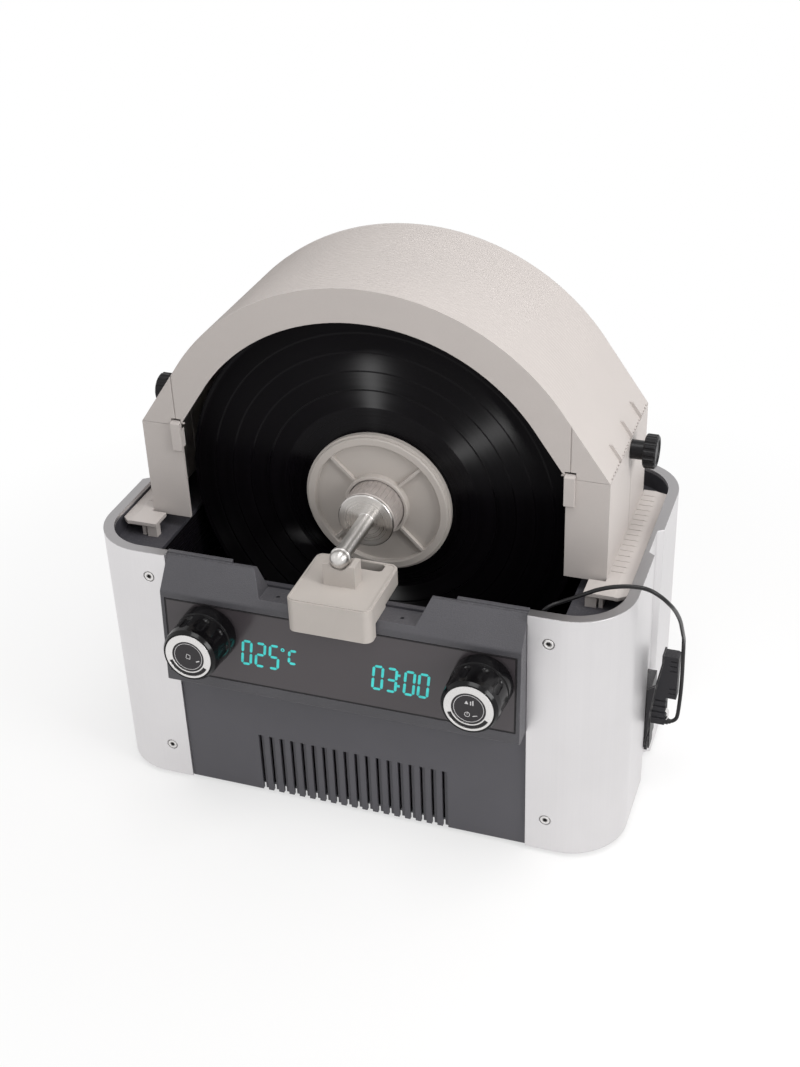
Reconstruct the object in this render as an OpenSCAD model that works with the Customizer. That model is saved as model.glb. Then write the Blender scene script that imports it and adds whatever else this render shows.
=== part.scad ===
/* [Body] */
// From a record's edge to the outside of the side shell
side_room = 53.2; // [50:0.2:58]
// Overall depth of the side shells
body_d = 233; // [225:1:260]
// Height of the side shells
body_h = 208; // [195:1:230]
// Radius of the four upright corners
corner_r = 44; // [36:1:56]
// Wall of the aluminium shells
shell_wall = 3; // [2.4:0.1:3.2]
// Width of the flat rim on top of the shells
rim_w = 8; // [8:0.1:11]
// Thickness of the rim and of the flange below
rim_t = 3; // [2:0.1:4]
// Width of a shell's front, from the body's side to the dark panels
shell_face = 67.5; // [62:0.5:74]
// How far the panels lie behind the face of the shells
panel_recess = 2; // [1:0.1:3]
// Depth of the upright channel in each side
channel_depth = 4.6; // [3:0.1:4.8]
// Width of that channel at its mouth
channel_w = 38; // [32:1:46]
// Height of the rubber feet below the shells
foot_h = 4; // [3:0.5:8]
// Diameter of a rubber foot
foot_d = 24; // [18:1:28]

/* [Grille] */
// Number of grooves in the front grille
groove_count = 18; // [10:1:20]
// Spacing of the grooves
groove_pitch = 8.7; // [7:0.1:9]
// Width of a groove
groove_w = 4.4; // [3:0.1:5]
// Depth of a groove
groove_depth = 2.2; // [1:0.1:2.4]
// Height of the grille
groove_h = 54; // [40:1:70]

/* [Control fascia] */
// Height of the fascia, from its lower edge to the rim
fascia_h = 100; // [94:1:108]
// Backward lean of the fascia's front, in degrees
face_lean = 3.3; // [1:0.1:6]
// Wall of the fascia's front
fascia_wall = 3; // [2.4:0.1:4]
// From a shell's edge to the display window
window_in = 3.5; // [3:0.5:12]
// Height of the display window
window_h = 62; // [56:1:66]
// Distance of the window's top below the ridge line
window_down = 4; // [3:0.5:6]
// Width of the pocket that takes the spindle rest
pocket_w = 118; // [90:1:130]

/* [Knobs] */
// From the left shell's edge to the left knob's axis
left_knob_in = 38.5; // [30:0.5:46]
// From the right shell's edge to the right knob's axis
right_knob_in = 26.5; // [26.5:0.5:42]
// Distance of the knob axes below the ridge line
knob_down = 25.5; // [24:0.5:30]
// Diameter of a knob at its foot
knob_d = 44; // [36:1:44]
// Length of a knob
knob_len = 37; // [28:1:42]
// How far a knob can be pushed in
knob_push = 1; // [0.5:0.1:1.2]
// Diameter of the encoder shafts
encoder_d = 6; // [5:0.5:7]

/* [Bath] */
// Depth of the deck below the rim
deck_drop = 16; // [12:1:20]
// Room between a record's edge and the side of the bath
bath_room = 5.2; // [3:0.2:8]
// Room between a record's edge and the floor of the bath
floor_room = 12.2; // [8:0.2:16]
// Width of the deck in front of the bath
bath_lip = 4.3; // [3:0.1:8]
// Radius of the bath's upright corners
bath_r = 20; // [12:1:30]
// Sheet thickness of the bath
bath_wall = 1.5; // [1:0.1:2]
// Diameter of an ultrasonic transducer
transducer_d = 45; // [35:1:50]
// Spacing of the transducers
transducer_pitch = 95; // [60:1:100]

/* [Spindle] */
// Height of the spindle axis above the rim
axis_up = 19; // [17:0.5:22]
// Diameter of the record spindle
spindle_d = 7.1; // [6:0.1:7.1]
// Diameter of a record
record_d = 301.6; // [290:0.1:302]
// Thickness of a record at its label
record_t = 2.2; // [1.6:0.1:3]
// Spacing of the records
record_pitch = 22; // [19:0.5:23]
// Diameter of a label protector
protector_d = 113; // [104:1:116]
// Thickness of a label protector at its rim
protector_t = 8; // [7:0.5:10]
// Diameter of the clamp disc and its knurled collar
clamp_d = 42.6; // [36:0.2:43]
// Diameter of the clamp's steel rod
rod_d = 12; // [10:0.5:13]
// Running clearance of shafts, on the radius
running_fit = 0.05; // [0.02:0.01:0.08]
// Depth of the spindle drive's housing
drive_d = 31.8; // [28:0.2:36]

/* [Cover] */
// From a record's edge to the outside of a leg
leg_room = 26.2; // [24:0.2:30]
// How far the arch's top lies inside the legs' outer walls
arch_in = 2; // [1:0.5:4]
// Width of the cover's front band
band_w = 25; // [22:1:28]
// Height of the arch's centre above the rim
arch_up = 21; // [18:1:24]
// Height of the legs' top above the rim
leg_up = 73; // [68:1:78]
// Width of a leg
leg_w = 31; // [28:0.5:36]
// Wall of the cover and its legs
cover_wall = 2.5; // [2:0.1:3]
// From the body's front to the cover's front
cover_set = 63.5; // [58:0.5:68]
// Diameter of a thumb knob's head
thumb_d = 25; // [20:1:28]

/* [Side unit] */
// Diameter of the lead
lead_d = 3; // [2:0.5:4]
// Depth of the ribbed sensor box, front to back
sensor_d = 10; // [8:0.5:12]

/* [Hidden] */
$fn = 64;

// Gap between pieces of one body that seat side by side
seat_gap = 0.2;
// Gap between pieces that move past each other
free_gap = 0.3;

// Widths, laid out from the records
body_w = record_d + 2*side_room;
panel_w = body_w - 2*shell_face;
window_w = panel_w - 2*window_in;
left_knob_x = left_knob_in - panel_w/2;
right_knob_x = panel_w/2 - right_knob_in;
bath_w = record_d + 2*bath_room;
leg_out = record_d/2 + leg_room;
leg_in = leg_out - leg_w;
arch_r = leg_out - arch_in;
opening_r = arch_r - band_w;

// Heights
rim_z = foot_h + body_h;
deck_z = rim_z - deck_drop;
axis_z = rim_z + axis_up;
arch_z = rim_z + arch_up;
leg_top = rim_z + leg_up;
fascia_z = rim_z - fascia_h;
deck_t = 3;
bath_floor_z = axis_z - record_d/2 - floor_room;
bath_h = deck_z - bath_floor_z;
base_t = 2;
base_z = foot_h + rim_t;

// Lines in plan
front_y = -body_d/2;
panel_t = 3;
panel_front = front_y + panel_recess;
flange_y = front_y + shell_wall;
inner_y = front_y + rim_w + seat_gap;
deck_wall = 2;
cover_front = front_y + cover_set;
drive_front = body_d/2 - rim_w - seat_gap - drive_d;
cover_back = drive_front - cover_wall;
cover_depth = cover_back - cover_front;
bath_front = inner_y + bath_lip;
bath_d = cover_back - bath_front;
bath_middle = bath_front + bath_d/2;

// Screws that hold the shells
screw_d = 4;
screw_low = 28.5;
screw_high = body_h - 21;
screw_heights = [foot_h + screw_low, foot_h + screw_high];
tab_w = shell_face - corner_r - 0.5;
screw_x = panel_w/2 + tab_w - 8;

// Ridge of the fascia: a round edge between the sloping top and the front
ridge_r = 4;
ridge_y = front_y - 9.1;
ridge_z = rim_z - 24;
slope_angle = 50.8;
face_len = (ridge_z - fascia_z) / cos(face_lean);
pocket_z = ridge_z + 6;
window_t = 1.2;
window_gap = 0.5;

// Records along the spindle, counted from the front
first_record_y = -27;
record_count = 4;
function record_y(i) = first_record_y + i*record_pitch;
stack_front = first_record_y - record_t/2;
stack_back = record_y(record_count - 1) + record_t/2;
collar_seat = 3.5;
collar_len = 24.4;
collar_back = stack_front - protector_t + collar_seat;
collar_front = collar_back - collar_len;
rod_bore = 9;
rod_ring_r = rod_d/2 + 1.6;
post_front = front_y + 0.5;
rod_tip = post_front + 8;
spindle_back = drive_front + 15.5;

// Cover
leg_rise = leg_top - arch_z;
tray_t = 3;
tray_z = rim_z - 3 - tray_t;
knob_pin_y = cover_front + 68.5;
knob_pin_z = leg_top - 8;
clip_x = (leg_in + leg_out)/2 - 12.6;
clip_w = 7.6;
clip_pin_z = leg_top + 2;

function arc_points(r, a0, a1, n) = [for (i = [0:n]) [r*cos(a0 + (a1 - a0)*i/n), r*sin(a0 + (a1 - a0)*i/n)]];

// A rectangle with round corners, made of true arcs
module rounded(w, d, r) {
    square([w - 2*r, d], center = true);
    square([w, d - 2*r], center = true);
    for (sx = [-1, 1], sy = [-1, 1])
        translate([sx*(w/2 - r), sy*(d/2 - r)]) circle(r);
}

module outline(inset) {
    rounded(body_w - 2*inset, body_d - 2*inset, corner_r - inset);
}

// The upright channel in the right side, with slanted flanks
module channel(grow) {
    mouth = channel_w/2 + grow;
    floor_x = body_w/2 - channel_depth - grow;
    polygon([[body_w/2 + 1, -mouth], [floor_x, 4 - mouth], [floor_x, mouth - 4], [body_w/2 + 1, mouth]]);
}

module both_channels(grow) {
    channel(grow);
    mirror([1, 0]) channel(grow);
}

// Turns a shape's Z axis towards the front and puts it on the spindle axis
module on_spindle(y) {
    translate([0, y, axis_z]) rotate([90, 0, 0]) children();
}

// A plan drawn in X and Z, extruded from y0 towards the back
module upright(y0, len) {
    translate([0, y0 + len, 0]) rotate([90, 0, 0]) linear_extrude(len) children();
}

// A section drawn in Y and Z, extruded along X about the middle
module across(w) {
    rotate([90, 0, 90]) translate([0, 0, -w/2]) linear_extrude(w) children();
}

// A point on the leaning front face of the fascia, with -Y pointing out of it
module on_face(x, down) {
    translate([x, ridge_y, ridge_z]) rotate([-face_lean, 0, 0])
        translate([0, -ridge_r, -down]) children();
}

module ring(outer_r, inner_r, h) {
    difference() {
        cylinder(r = outer_r, h = h);
        translate([0, 0, -1]) cylinder(r = inner_r, h = h + 2);
    }
}

// Shells

module shell_screw_places(sides) {
    for (sx = sides, sy = [-1, 1], z = screw_heights)
        translate([sx*screw_x, sy*body_d/2, z]) rotate([sy*90, 0, 0]) children();
}

module side_shell() {
    difference() {
        translate([0, 0, foot_h]) linear_extrude(body_h) intersection() {
            difference() {
                outline(0);
                channel(0);
            }
            translate([panel_w/2, -body_d]) square([body_w, 2*body_d]);
        }
        translate([0, 0, foot_h + rim_t]) linear_extrude(body_h - 2*rim_t) difference() {
            outline(shell_wall);
            channel(shell_wall);
        }
        translate([0, 0, foot_h - 1]) linear_extrude(body_h + 2) difference() {
            outline(rim_w);
            channel(shell_wall);
        }
        shell_screw_places([1]) {
            translate([0, 0, -1]) cylinder(d = screw_d + 0.4, h = shell_wall + 2);
            translate([0, 0, -1]) cylinder(d = 2*screw_d + 0.8, h = 2.2);
        }
    }
}

module right_shell() { color("gainsboro") side_shell(); }
module left_shell() { color("gainsboro") mirror([1, 0, 0]) side_shell(); }

// Socket heads sunk in the shells, their shanks in the tabs behind
module shell_screws() {
    color("silver") shell_screw_places([-1, 1]) difference() {
        union() {
            translate([0, 0, 0.2]) cylinder(d = 2*screw_d, h = 1);
            translate([0, 0, 0.2]) cylinder(d = screw_d, h = shell_wall + panel_t - 0.2);
        }
        translate([0, 0, -1]) cylinder(d = screw_d*0.8, h = 2.4, $fn = 6);
    }
}

// Panels

// A panel between the shells with tabs that reach behind them
module panel(low, high, tab_low, tab_high) {
    translate([-panel_w/2 + seat_gap, panel_front, low])
        cube([panel_w - 2*seat_gap, panel_t, high - low]);
    for (sx = [-1, 1])
        translate([sx*(panel_w/2 + tab_w/2 - 1) - tab_w/2 - 1, flange_y, tab_low])
            cube([tab_w + 2, panel_t, tab_high - tab_low]);
}

module tapped_holes() {
    shell_screw_places([-1, 1])
        translate([0, 0, -1]) cylinder(d = screw_d + 0.1, h = shell_wall + panel_t + 9);
}

module grille_grooves() {
    for (i = [0:groove_count - 1]) {
        x = (i - (groove_count - 1)/2)*groove_pitch - groove_w/2;
        translate([x, panel_front - 1, foot_h - 1])
            cube([groove_w, groove_depth + 1, groove_h + 1]);
        translate([x, panel_front - 1, foot_h - 1])
            cube([groove_w/3, panel_t + 2, groove_h]);
    }
}

module front_panel() {
    color("#58595d") difference() {
        panel(foot_h, fascia_z + 4, base_z + base_t + seat_gap, fascia_z - 4);
        grille_grooves();
        tapped_holes();
    }
}

// Places across the back, from the left shell's edge to the socket and on to the switch
inlet_x = 36.5 - panel_w/2;
rocker_x = inlet_x + 24;
socket_z = foot_h + 44;
inlet_low_x = inlet_x - 14;
inlet_w = rocker_x + 8 - inlet_low_x;
inlet_h = 24;

module rear_panel() {
    color("#58595d") difference() {
        union() {
            mirror([0, 1, 0]) panel(foot_h, rim_z, base_z + base_t + seat_gap, rim_z - rim_t - seat_gap);
            translate([-panel_w/2 + seat_gap, body_d/2 - rim_w, rim_z - rim_t])
                cube([panel_w - 2*seat_gap, rim_w - panel_recess, rim_t]);
        }
        tapped_holes();
        translate([inlet_low_x - seat_gap, 0, socket_z - inlet_h/2 - seat_gap])
            cube([inlet_w + 2*seat_gap, body_d, inlet_h + 2*seat_gap]);
        for (i = [0:11])
            translate([30 + i*7, 0, foot_h + 30]) cube([3, body_d, 46]);
    }
}

module base_plate() {
    side = body_w - 2*(shell_wall + 1);
    depth = body_d - 2*(shell_wall + panel_t + seat_gap);
    color("#6b6c70") difference() {
        translate([0, 0, base_z]) linear_extrude(base_t) difference() {
            rounded(side, depth, corner_r - shell_wall);
            both_channels(shell_wall + seat_gap);
        }
        foot_places() translate([0, 0, base_z - 1]) cylinder(d = 6.2, h = base_t + 2);
        for (i = [-4:4], sy = [-1, 1])
            translate([i*24 - 9, sy*34 - 2, base_z - 1]) cube([18, 4, base_t + 2]);
    }
}

module foot_places() {
    for (n = [1:5]) foot_place(n) children();
}

module foot_place(n) {
    sx = [-1, 1, -1, 1, 0][n - 1];
    sy = [-1, -1, 1, 1, 0][n - 1];
    translate([sx*(body_w/2 - corner_r - 6), sy*(body_d/2 - corner_r - 6), 0]) children();
}

// A rubber foot with a turned edge and a plug that holds it in the plate
module foot(n) {
    color("#2b2b2d") foot_place(n) rotate_extrude() polygon([
        [0, 0], [foot_d/2 - 1.5, 0], [foot_d/2, 1.5], [foot_d/2, base_z - 1], [foot_d/2 - 1, base_z],
        [3, base_z], [3, base_z + base_t + 1.5], [0, base_z + base_t + 1.5]]);
}

module foot_1() { foot(1); }
module foot_2() { foot(2); }
module foot_3() { foot(3); }
module foot_4() { foot(4); }
module foot_5() { foot(5); }

// Bath

module bath_plan(grow) {
    translate([0, bath_middle]) rounded(bath_w + 2*grow, bath_d + 2*grow, bath_r + grow);
}

module deck_plan(inset) {
    difference() {
        outline(inset);
        both_channels(shell_wall + seat_gap);
    }
}

// The sunk deck with its upstand below the rim; the fascia closes its front
module deck() {
    outer = rim_w + seat_gap - deck_wall;
    color("#505156") difference() {
        translate([0, 0, deck_z - deck_t]) linear_extrude(deck_drop - rim_t + deck_t) deck_plan(outer);
        translate([0, 0, deck_z]) linear_extrude(deck_drop) deck_plan(rim_w + seat_gap);
        translate([0, 0, deck_z - deck_t - 1]) linear_extrude(deck_t + 2) bath_plan(0);
        translate([-panel_w/2 - seat_gap, front_y - 1, deck_z - deck_t - 1])
            cube([panel_w + 2*seat_gap, rim_w + 1 + seat_gap + 0.1, deck_drop + deck_t]);
        for (sx = [-1, 1])
            translate([sx*(panel_w/2 + 26), cover_back + 22, deck_z - 1.2]) cylinder(r = 9, h = 3);
    }
}

// The bath: a deep drawn tray that hangs by its flange under the deck
module tank() {
    top = deck_z - deck_t;
    color("#26262a") difference() {
        union() {
            translate([0, 0, top - 2]) linear_extrude(2) bath_plan(4);
            translate([0, 0, bath_floor_z - bath_wall]) linear_extrude(bath_h - deck_t + bath_wall)
                bath_plan(bath_wall);
        }
        translate([0, 0, bath_floor_z]) linear_extrude(bath_h + 1) bath_plan(0);
        translate([0, 0, bath_floor_z - bath_wall - 1]) linear_extrude(bath_wall + 2)
            translate([-bath_w/2 + 26, bath_middle]) circle(r = 7);
    }
}

// A bolt-clamped transducer: foot mass, ceramic rings and flared head
module transducer(i) {
    r = transducer_d/2;
    low = base_z + base_t + 3;
    tall = bath_floor_z - bath_wall - low;
    color("#b9bcc0") translate([(i - 2)*transducer_pitch, bath_middle, low]) rotate_extrude() polygon([
        [0, 0], [4, 0], [4, 3], [r*0.84, 3], [r*0.84, tall*0.35], [r*0.7, tall*0.35],
        [r*0.7, tall*0.5], [r*0.62, tall*0.5], [r, tall - 8], [r, tall], [0, tall]]);
}

module transducer_1() { transducer(1); }
module transducer_2() { transducer(2); }
module transducer_3() { transducer(3); }

// The ultrasonic generator: a board on edge with its heat sink and transformer
module generator_board() {
    x0 = -body_w/2 + shell_wall + channel_depth + 9;
    low = base_z + base_t;
    color("#2f6b45") {
        translate([x0, -62, low]) cube([1.6, 124, 108]);
        translate([x0 + 1.6, -52, low + 12]) cube([3, 46, 70]);
        for (i = [0:6])
            translate([x0 + 4.6, -52 + i*7.2, low + 12]) cube([13, 2.4, 70]);
        translate([x0 + 1.6, 8, low + 20]) cube([20, 30, 34]);
        for (i = [0:2])
            translate([x0 + 1.6, 12 + i*16, low + 78]) rotate([0, 90, 0]) cylinder(r = 6.5, h = 18);
    }
}

// Control fascia

slope_n = [-sin(slope_angle), cos(slope_angle)];
front_n = [-cos(face_lean), sin(face_lean)];
ridge = [ridge_y, ridge_z];
lip_z = rim_z + 1;
lip_y = inner_y - 3;
lip_cut = panel_w - 103;
slope_top = ridge + ridge_r*slope_n;
slope_start = [lip_y - 1, slope_top[1] + (lip_y - 1 - slope_top[0])*tan(slope_angle)];
front_low = ridge + ridge_r*front_n + face_len*[-sin(face_lean), -cos(face_lean)];

module fascia_section() {
    polygon([
        [inner_y, fascia_z + 4 + seat_gap], [inner_y, lip_z], [lip_y, lip_z], [lip_y, lip_z - 1.6],
        [lip_y - 1, lip_z - 1.6], slope_start, slope_top, ridge, ridge + ridge_r*front_n,
        front_low + [0, 1.5], front_low + [1.5, 0],
        [panel_front - seat_gap, fascia_z], [panel_front - seat_gap, fascia_z + 4 + seat_gap]]);
    translate(ridge) circle(ridge_r);
}

module fascia_hollow() {
    top_z = pocket_z - fascia_wall;
    polygon([
        [inner_y + 1, fascia_z + 4 + fascia_wall], [inner_y + 1, top_z],
        [ridge_y, top_z], ridge + (ridge_r - fascia_wall)*front_n + [0, -2],
        front_low + [fascia_wall + 0.2, 7 + fascia_wall],
        [panel_front - 6, fascia_z + 4 + fascia_wall]]);
}

module encoder_hole() {
    translate([0, fascia_wall + 2, 0]) rotate([90, 0, 0]) cylinder(d = encoder_d + 2.4, h = 9);
}

module control_fascia() {
    inside = panel_w - 2*seat_gap - 2*fascia_wall;
    color("#5a5c61") difference() {
        union() {
            across(panel_w - 2*seat_gap) fascia_section();
            for (sx = [-1, 1])
                translate([sx*(panel_w/2 + tab_w/2 - 2) - tab_w/2 - 1, flange_y, fascia_z + 6])
                    cube([tab_w + 2, panel_t, rim_z - rim_t - 1 - fascia_z - 6]);
        }
        across(inside) fascia_hollow();
        tapped_holes();
        translate([-lip_cut/2, lip_y - 0.5, lip_z - 3]) cube([lip_cut, 12, 10]);
        upright(ridge_y - 8, 40) polygon([
            [-pocket_w/2, pocket_z], [pocket_w/2, pocket_z],
            [pocket_w/2 + 10, lip_z + 2], [-pocket_w/2 - 10, lip_z + 2]]);
        for (sx = [-1, 1])
            translate([sx*(pocket_w/2 - 12), front_y - 2, pocket_z - 2]) cylinder(r = 1.6, h = 4);
        on_face(0, window_down + window_h/2)
            translate([-window_w/2 - window_gap, -1, -window_h/2 - window_gap])
                cube([window_w + 2*window_gap, window_t + 1, window_h + 2*window_gap]);
        for (x = [left_knob_x, right_knob_x]) on_face(x, knob_down) encoder_hole();
    }
}

module display_window() {
    color("#4a4649") difference() {
        on_face(0, window_down + window_h/2) translate([-window_w/2, 0, -window_h/2])
            cube([window_w, window_t, window_h]);
        for (x = [left_knob_x, right_knob_x]) on_face(x, knob_down) encoder_hole();
    }
}

// Knobs

shaft_in = fascia_wall + 4.5;
shaft_out = knob_len - 6;

module encoder(x) {
    r = encoder_d/2;
    color("#8a8c90") on_face(x, knob_down) difference() {
        union() {
            translate([-6.5, fascia_wall, -6.5]) cube([13, 7.5, 13]);
            translate([0, fascia_wall + 1, 0]) rotate([90, 0, 0]) cylinder(r = r + 1, h = fascia_wall + 1.2);
        }
        translate([0, shaft_in + knob_push + 0.4, 0]) rotate([90, 0, 0])
            cylinder(r = r + running_fit, h = 30);
    }
}

module knob_shaft(x) {
    color("#b4b6ba") on_face(x, knob_down) translate([0, shaft_in, 0]) rotate([90, 0, 0])
        cylinder(d = encoder_d, h = shaft_in + shaft_out);
}

// The knob: a skirt, a seam, a fluted drum and a dished front for the ring
module knob(x) {
    r = knob_d/2;
    gap = knob_push + 0.5;
    hub_r = encoder_d/2 + 3;
    color("#1c1b1d") on_face(x, knob_down) rotate([90, 0, 0]) difference() {
        rotate_extrude() polygon([
            [encoder_d/2 + 0.02, gap + 2], [encoder_d/2 + 0.02, shaft_out + knob_push + 0.3],
            [0, shaft_out + knob_push + 0.3], [0, knob_len - 1.4],
            [r*0.81, knob_len - 1.4], [r*0.81, knob_len - 0.2], [r*0.86, knob_len - 0.2],
            [r*0.93, knob_len - 2.6], [r*0.955, knob_len - 8], [r*0.965, 14.2], [r*0.93, 13.6],
            [r*0.93, 13], [r*0.985, 12.4], [r, 3], [r - 0.6, gap], [r - 3, gap], [r - 4, 11],
            [hub_r, 12], [hub_r, gap + 2]]);
        for (a = [0:36:324]) rotate(a) translate([r + 2.4, 0, 0]) {
            translate([0, 0, 19]) cylinder(r = 4.6, h = 9);
            translate([0, 0, 19]) sphere(4.6);
            translate([0, 0, 28]) sphere(4.6);
        }
    }
}

// The silver ring in the knob's face, with its sunk arc
module knob_ring(x) {
    r = knob_d/2;
    color("#e4e4e2") on_face(x, knob_down) translate([0, -knob_len + 1.4, 0]) rotate([90, 0, 0])
        difference() {
            ring(r*0.8, r*0.56, 1.3);
            translate([0, 0, 0.5]) rotate(200) rotate_extrude(angle = 130)
                translate([r*0.6, 0]) square([r*0.13, 2]);
        }
}

module knob_cap(x) {
    r = knob_d/2;
    color("#3a3638") on_face(x, knob_down) translate([0, -knob_len + 1.4, 0]) rotate([90, 0, 0])
        rotate_extrude() polygon([[0, 0], [r*0.555, 0], [r*0.555, 0.7], [r*0.52, 1], [0, 0.8]]);
}

module left_encoder() { encoder(left_knob_x); }
module right_encoder() { encoder(right_knob_x); }
module left_shaft() { knob_shaft(left_knob_x); }
module right_shaft() { knob_shaft(right_knob_x); }
module left_knob() { knob(left_knob_x); }
module right_knob() { knob(right_knob_x); }
module left_ring() { knob_ring(left_knob_x); }
module right_ring() { knob_ring(right_knob_x); }
module left_cap() { knob_cap(left_knob_x); }
module right_cap() { knob_cap(right_knob_x); }

// Rear sockets

rocker_y = body_d/2 - panel_recess - 1.5;
rocker_h = 17.6;

// Socket and switch well in one frame, with the rocker's pin across the well
module power_inlet() {
    back = body_d/2 - panel_recess;
    color("#1d1d1f") {
        difference() {
            union() {
                translate([inlet_low_x, back - 24, socket_z - inlet_h/2]) cube([inlet_w, 24, inlet_h]);
                translate([inlet_low_x - 3, back, socket_z - inlet_h/2 - 2])
                    cube([inlet_w + 6, 2, inlet_h + 4]);
            }
            translate([inlet_x - 12, back - 16, socket_z - 8]) cube([24, 20, 16]);
            translate([rocker_x - 6, back - 9, socket_z - 10]) cube([12, 13, 20]);
        }
        translate([rocker_x - 6.5, rocker_y, socket_z]) rotate([0, 90, 0])
            cylinder(r = 1.5 - running_fit, h = 13);
    }
    color("#c9c9c9") for (p = [[-7, -1], [0, 3], [7, -1]])
        translate([inlet_x + p[0] - 1, back - 17, socket_z + p[1] - 2]) cube([2, 14, 4]);
}

module power_rocker() {
    half = rocker_h/2;
    color("#202022") translate([rocker_x - 5.6, rocker_y, socket_z]) rotate([90, 0, 90])
        linear_extrude(11.2) difference() {
            union() {
                circle(3.6);
                polygon([[0, -half], [5.5, -half], [3.8, 0], [5.5, half], [0, half], [-2, 4], [-2, -4]]);
            }
            circle(1.5);
        }
}

// Spindle drive

drive_w = 76;
drive_top = axis_z + 27;

module drive_housing() {
    wall = 2.5;
    color("#505156") difference() {
        translate([-drive_w/2, drive_front, deck_z]) cube([drive_w, drive_d, drive_top - deck_z]);
        translate([-drive_w/2 + wall, drive_front + 2*wall, deck_z - 1])
            cube([drive_w - 2*wall, drive_d - 3*wall, drive_top - deck_z - wall + 1]);
        on_spindle(drive_front + 3*wall) cylinder(r = spindle_d/2 + running_fit, h = 4*wall);
    }
}

// A flat gear motor on the housing's back wall, with a socket for the spindle
module drive_motor() {
    face = drive_front + drive_d - 2.5;
    socket = 9;
    color("#9a9ca0") difference() {
        union() {
            on_spindle(face) cylinder(r = 22, h = 13);
            on_spindle(face - 13) cylinder(r = 7, h = socket - 2);
        }
        on_spindle(face - 9) cylinder(r = spindle_d/2 + running_fit, h = 14);
    }
}

// Spindle and records

module spindle() {
    color("#d0d2d4") {
        translate([0, spindle_back, axis_z]) rotate([90, 0, 0])
            cylinder(d = spindle_d, h = spindle_back - collar_front + 6);
        on_spindle(stack_back + protector_t + 3) ring(9, spindle_d/2 - 0.5, 3);
    }
}

// A record: thick label and edge bead, thinner playing area between
module record(i) {
    r = record_d/2;
    half = record_t/2;
    thin = half*0.7;
    color("#1a191d") on_spindle(record_y(i - 1)) rotate_extrude() polygon([
        [spindle_d/2 + 0.02, -half], [50, -half], [52, -thin], [r - 3, -thin], [r - 1.5, -half],
        [r - 0.5, -half], [r, 0], [r - 0.5, half], [r - 1.5, half], [r - 3, thin], [52, thin], [50, half],
        [spindle_d/2 + 0.02, half]]);
}

module record_1() { record(1); }
module record_2() { record(2); }
module record_3() { record(3); }
module record_4() { record(4); }

// A bobbin between two records, its flanges guarding both labels
module spacer(i) {
    r = protector_d/2;
    len = record_pitch - record_t;
    half = len/2;
    flange = 3;
    color("#cfc6bf") on_spindle(record_y(i - 1) + record_pitch/2) rotate_extrude() polygon([
        [spindle_d/2 + 0.02, -half], [r - 1, -half], [r, 1 - half], [r, 5.5 - half], [r - 3, 5.5 - half],
        [r - 3, flange - half], [14, flange - half], [14, half - flange], [r - 3, half - flange],
        [r - 3, half - 5.5], [r, half - 5.5], [r, half - 1], [r - 1, half], [spindle_d/2 + 0.02, half]]);
}

module spacer_1() { spacer(1); }
module spacer_2() { spacer(2); }
module spacer_3() { spacer(3); }

// A label protector: stepped rim, sunk face, four ribs and a hub ring
module protector() {
    r = protector_d/2;
    t = protector_t;
    hub_in = clamp_d/2 + free_gap + 0.4;
    hub_out = hub_in + 2.4;
    floor_t = t - collar_seat;
    rotate_extrude() polygon([
        [spindle_d/2 + 0.02, 0], [r - 1, 0], [r, 1], [r, t - 3], [r - 1.6, t - 2.6], [r - 1.6, t - 0.8],
        [r - 2.4, t], [r - 7, t], [r - 7.6, t - 0.6], [r - 8.2, floor_t], [hub_out, floor_t],
        [hub_out, t + 1], [hub_out - 0.6, t + 1.6], [hub_in, t + 1.6], [hub_in, floor_t],
        [spindle_d/2 + 0.02, floor_t]]);
    for (a = [45:90:315]) rotate(a)
        translate([hub_out - 0.5, -1.2, floor_t - 0.5]) cube([r - 7 - hub_out, 2.4, collar_seat - 0.3]);
}

module front_protector() { color("#d6cdc6") on_spindle(stack_front) protector(); }
module rear_protector() { color("#d6cdc6") on_spindle(stack_back) mirror([0, 0, 1]) protector(); }

// The knurled collar that presses on the front protector
module clamp_collar() {
    r = clamp_d/2;
    bore = spindle_d/2 + running_fit;
    color("#c4c4c2") on_spindle(collar_back) difference() {
        rotate_extrude() polygon([
            [bore, 0], [r - 0.8, 0], [r, 0.8], [r, collar_len - 0.8], [r - 0.8, collar_len],
            [bore, collar_len]]);
        for (a = [0:10:350]) rotate(a) translate([r + 0.5, 0, 4]) rotate(45) cube([1.4, 1.4, collar_len - 6]);
    }
}

// The clamp: turned disc, steel rod and the ringed ball end that sits in the rest
module clamp_rod() {
    r = clamp_d/2;
    rod = rod_d/2;
    tip = -rod_tip + collar_front;
    color("#d4d6d8") on_spindle(collar_front) difference() {
        rotate_extrude() polygon(concat(
            [[0, 0], [r - 0.8, 0], [r, 0.8], [r, 2.2], [r - 0.6, 2.8], [rod + 0.4, 2.8], [rod, 3.2],
             [rod, tip - 0.6], [rod + 1, tip], [rod_ring_r, tip + 0.8], [rod_ring_r, tip + 2.8],
             [rod + 0.9, tip + 3.4], [rod - 0.7, tip + 3.9], [rod - 0.7, tip + 5]],
            [for (p = arc_points(rod + 0.9, 0, 90, 8)) [p[0], tip + 5.2 + p[1]*0.85]]));
        translate([0, 0, -1]) cylinder(r = spindle_d/2 + running_fit, h = rod_bore + 1);
    }
}

// Spindle rest: a saddle over the fascia's pocket with a notched post
rest_w = 63;
rest_front = ridge_y - 15.4;
rest_back = inner_y + 30.8;
rest_top = pocket_z + 16;
rest_low = rest_top - 27;
rest_wall = 2.5;
rest_corner = 6;
slot_w = 44;
slot_d = 9.5;
post_w = 24;
post_t = 13;
post_top = axis_z - 3.7;

module rest_plan(inset) {
    translate([0, (rest_front + rest_back)/2])
        rounded(rest_w - 2*inset, rest_back - rest_front - 2*inset, rest_corner - inset);
}

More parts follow.
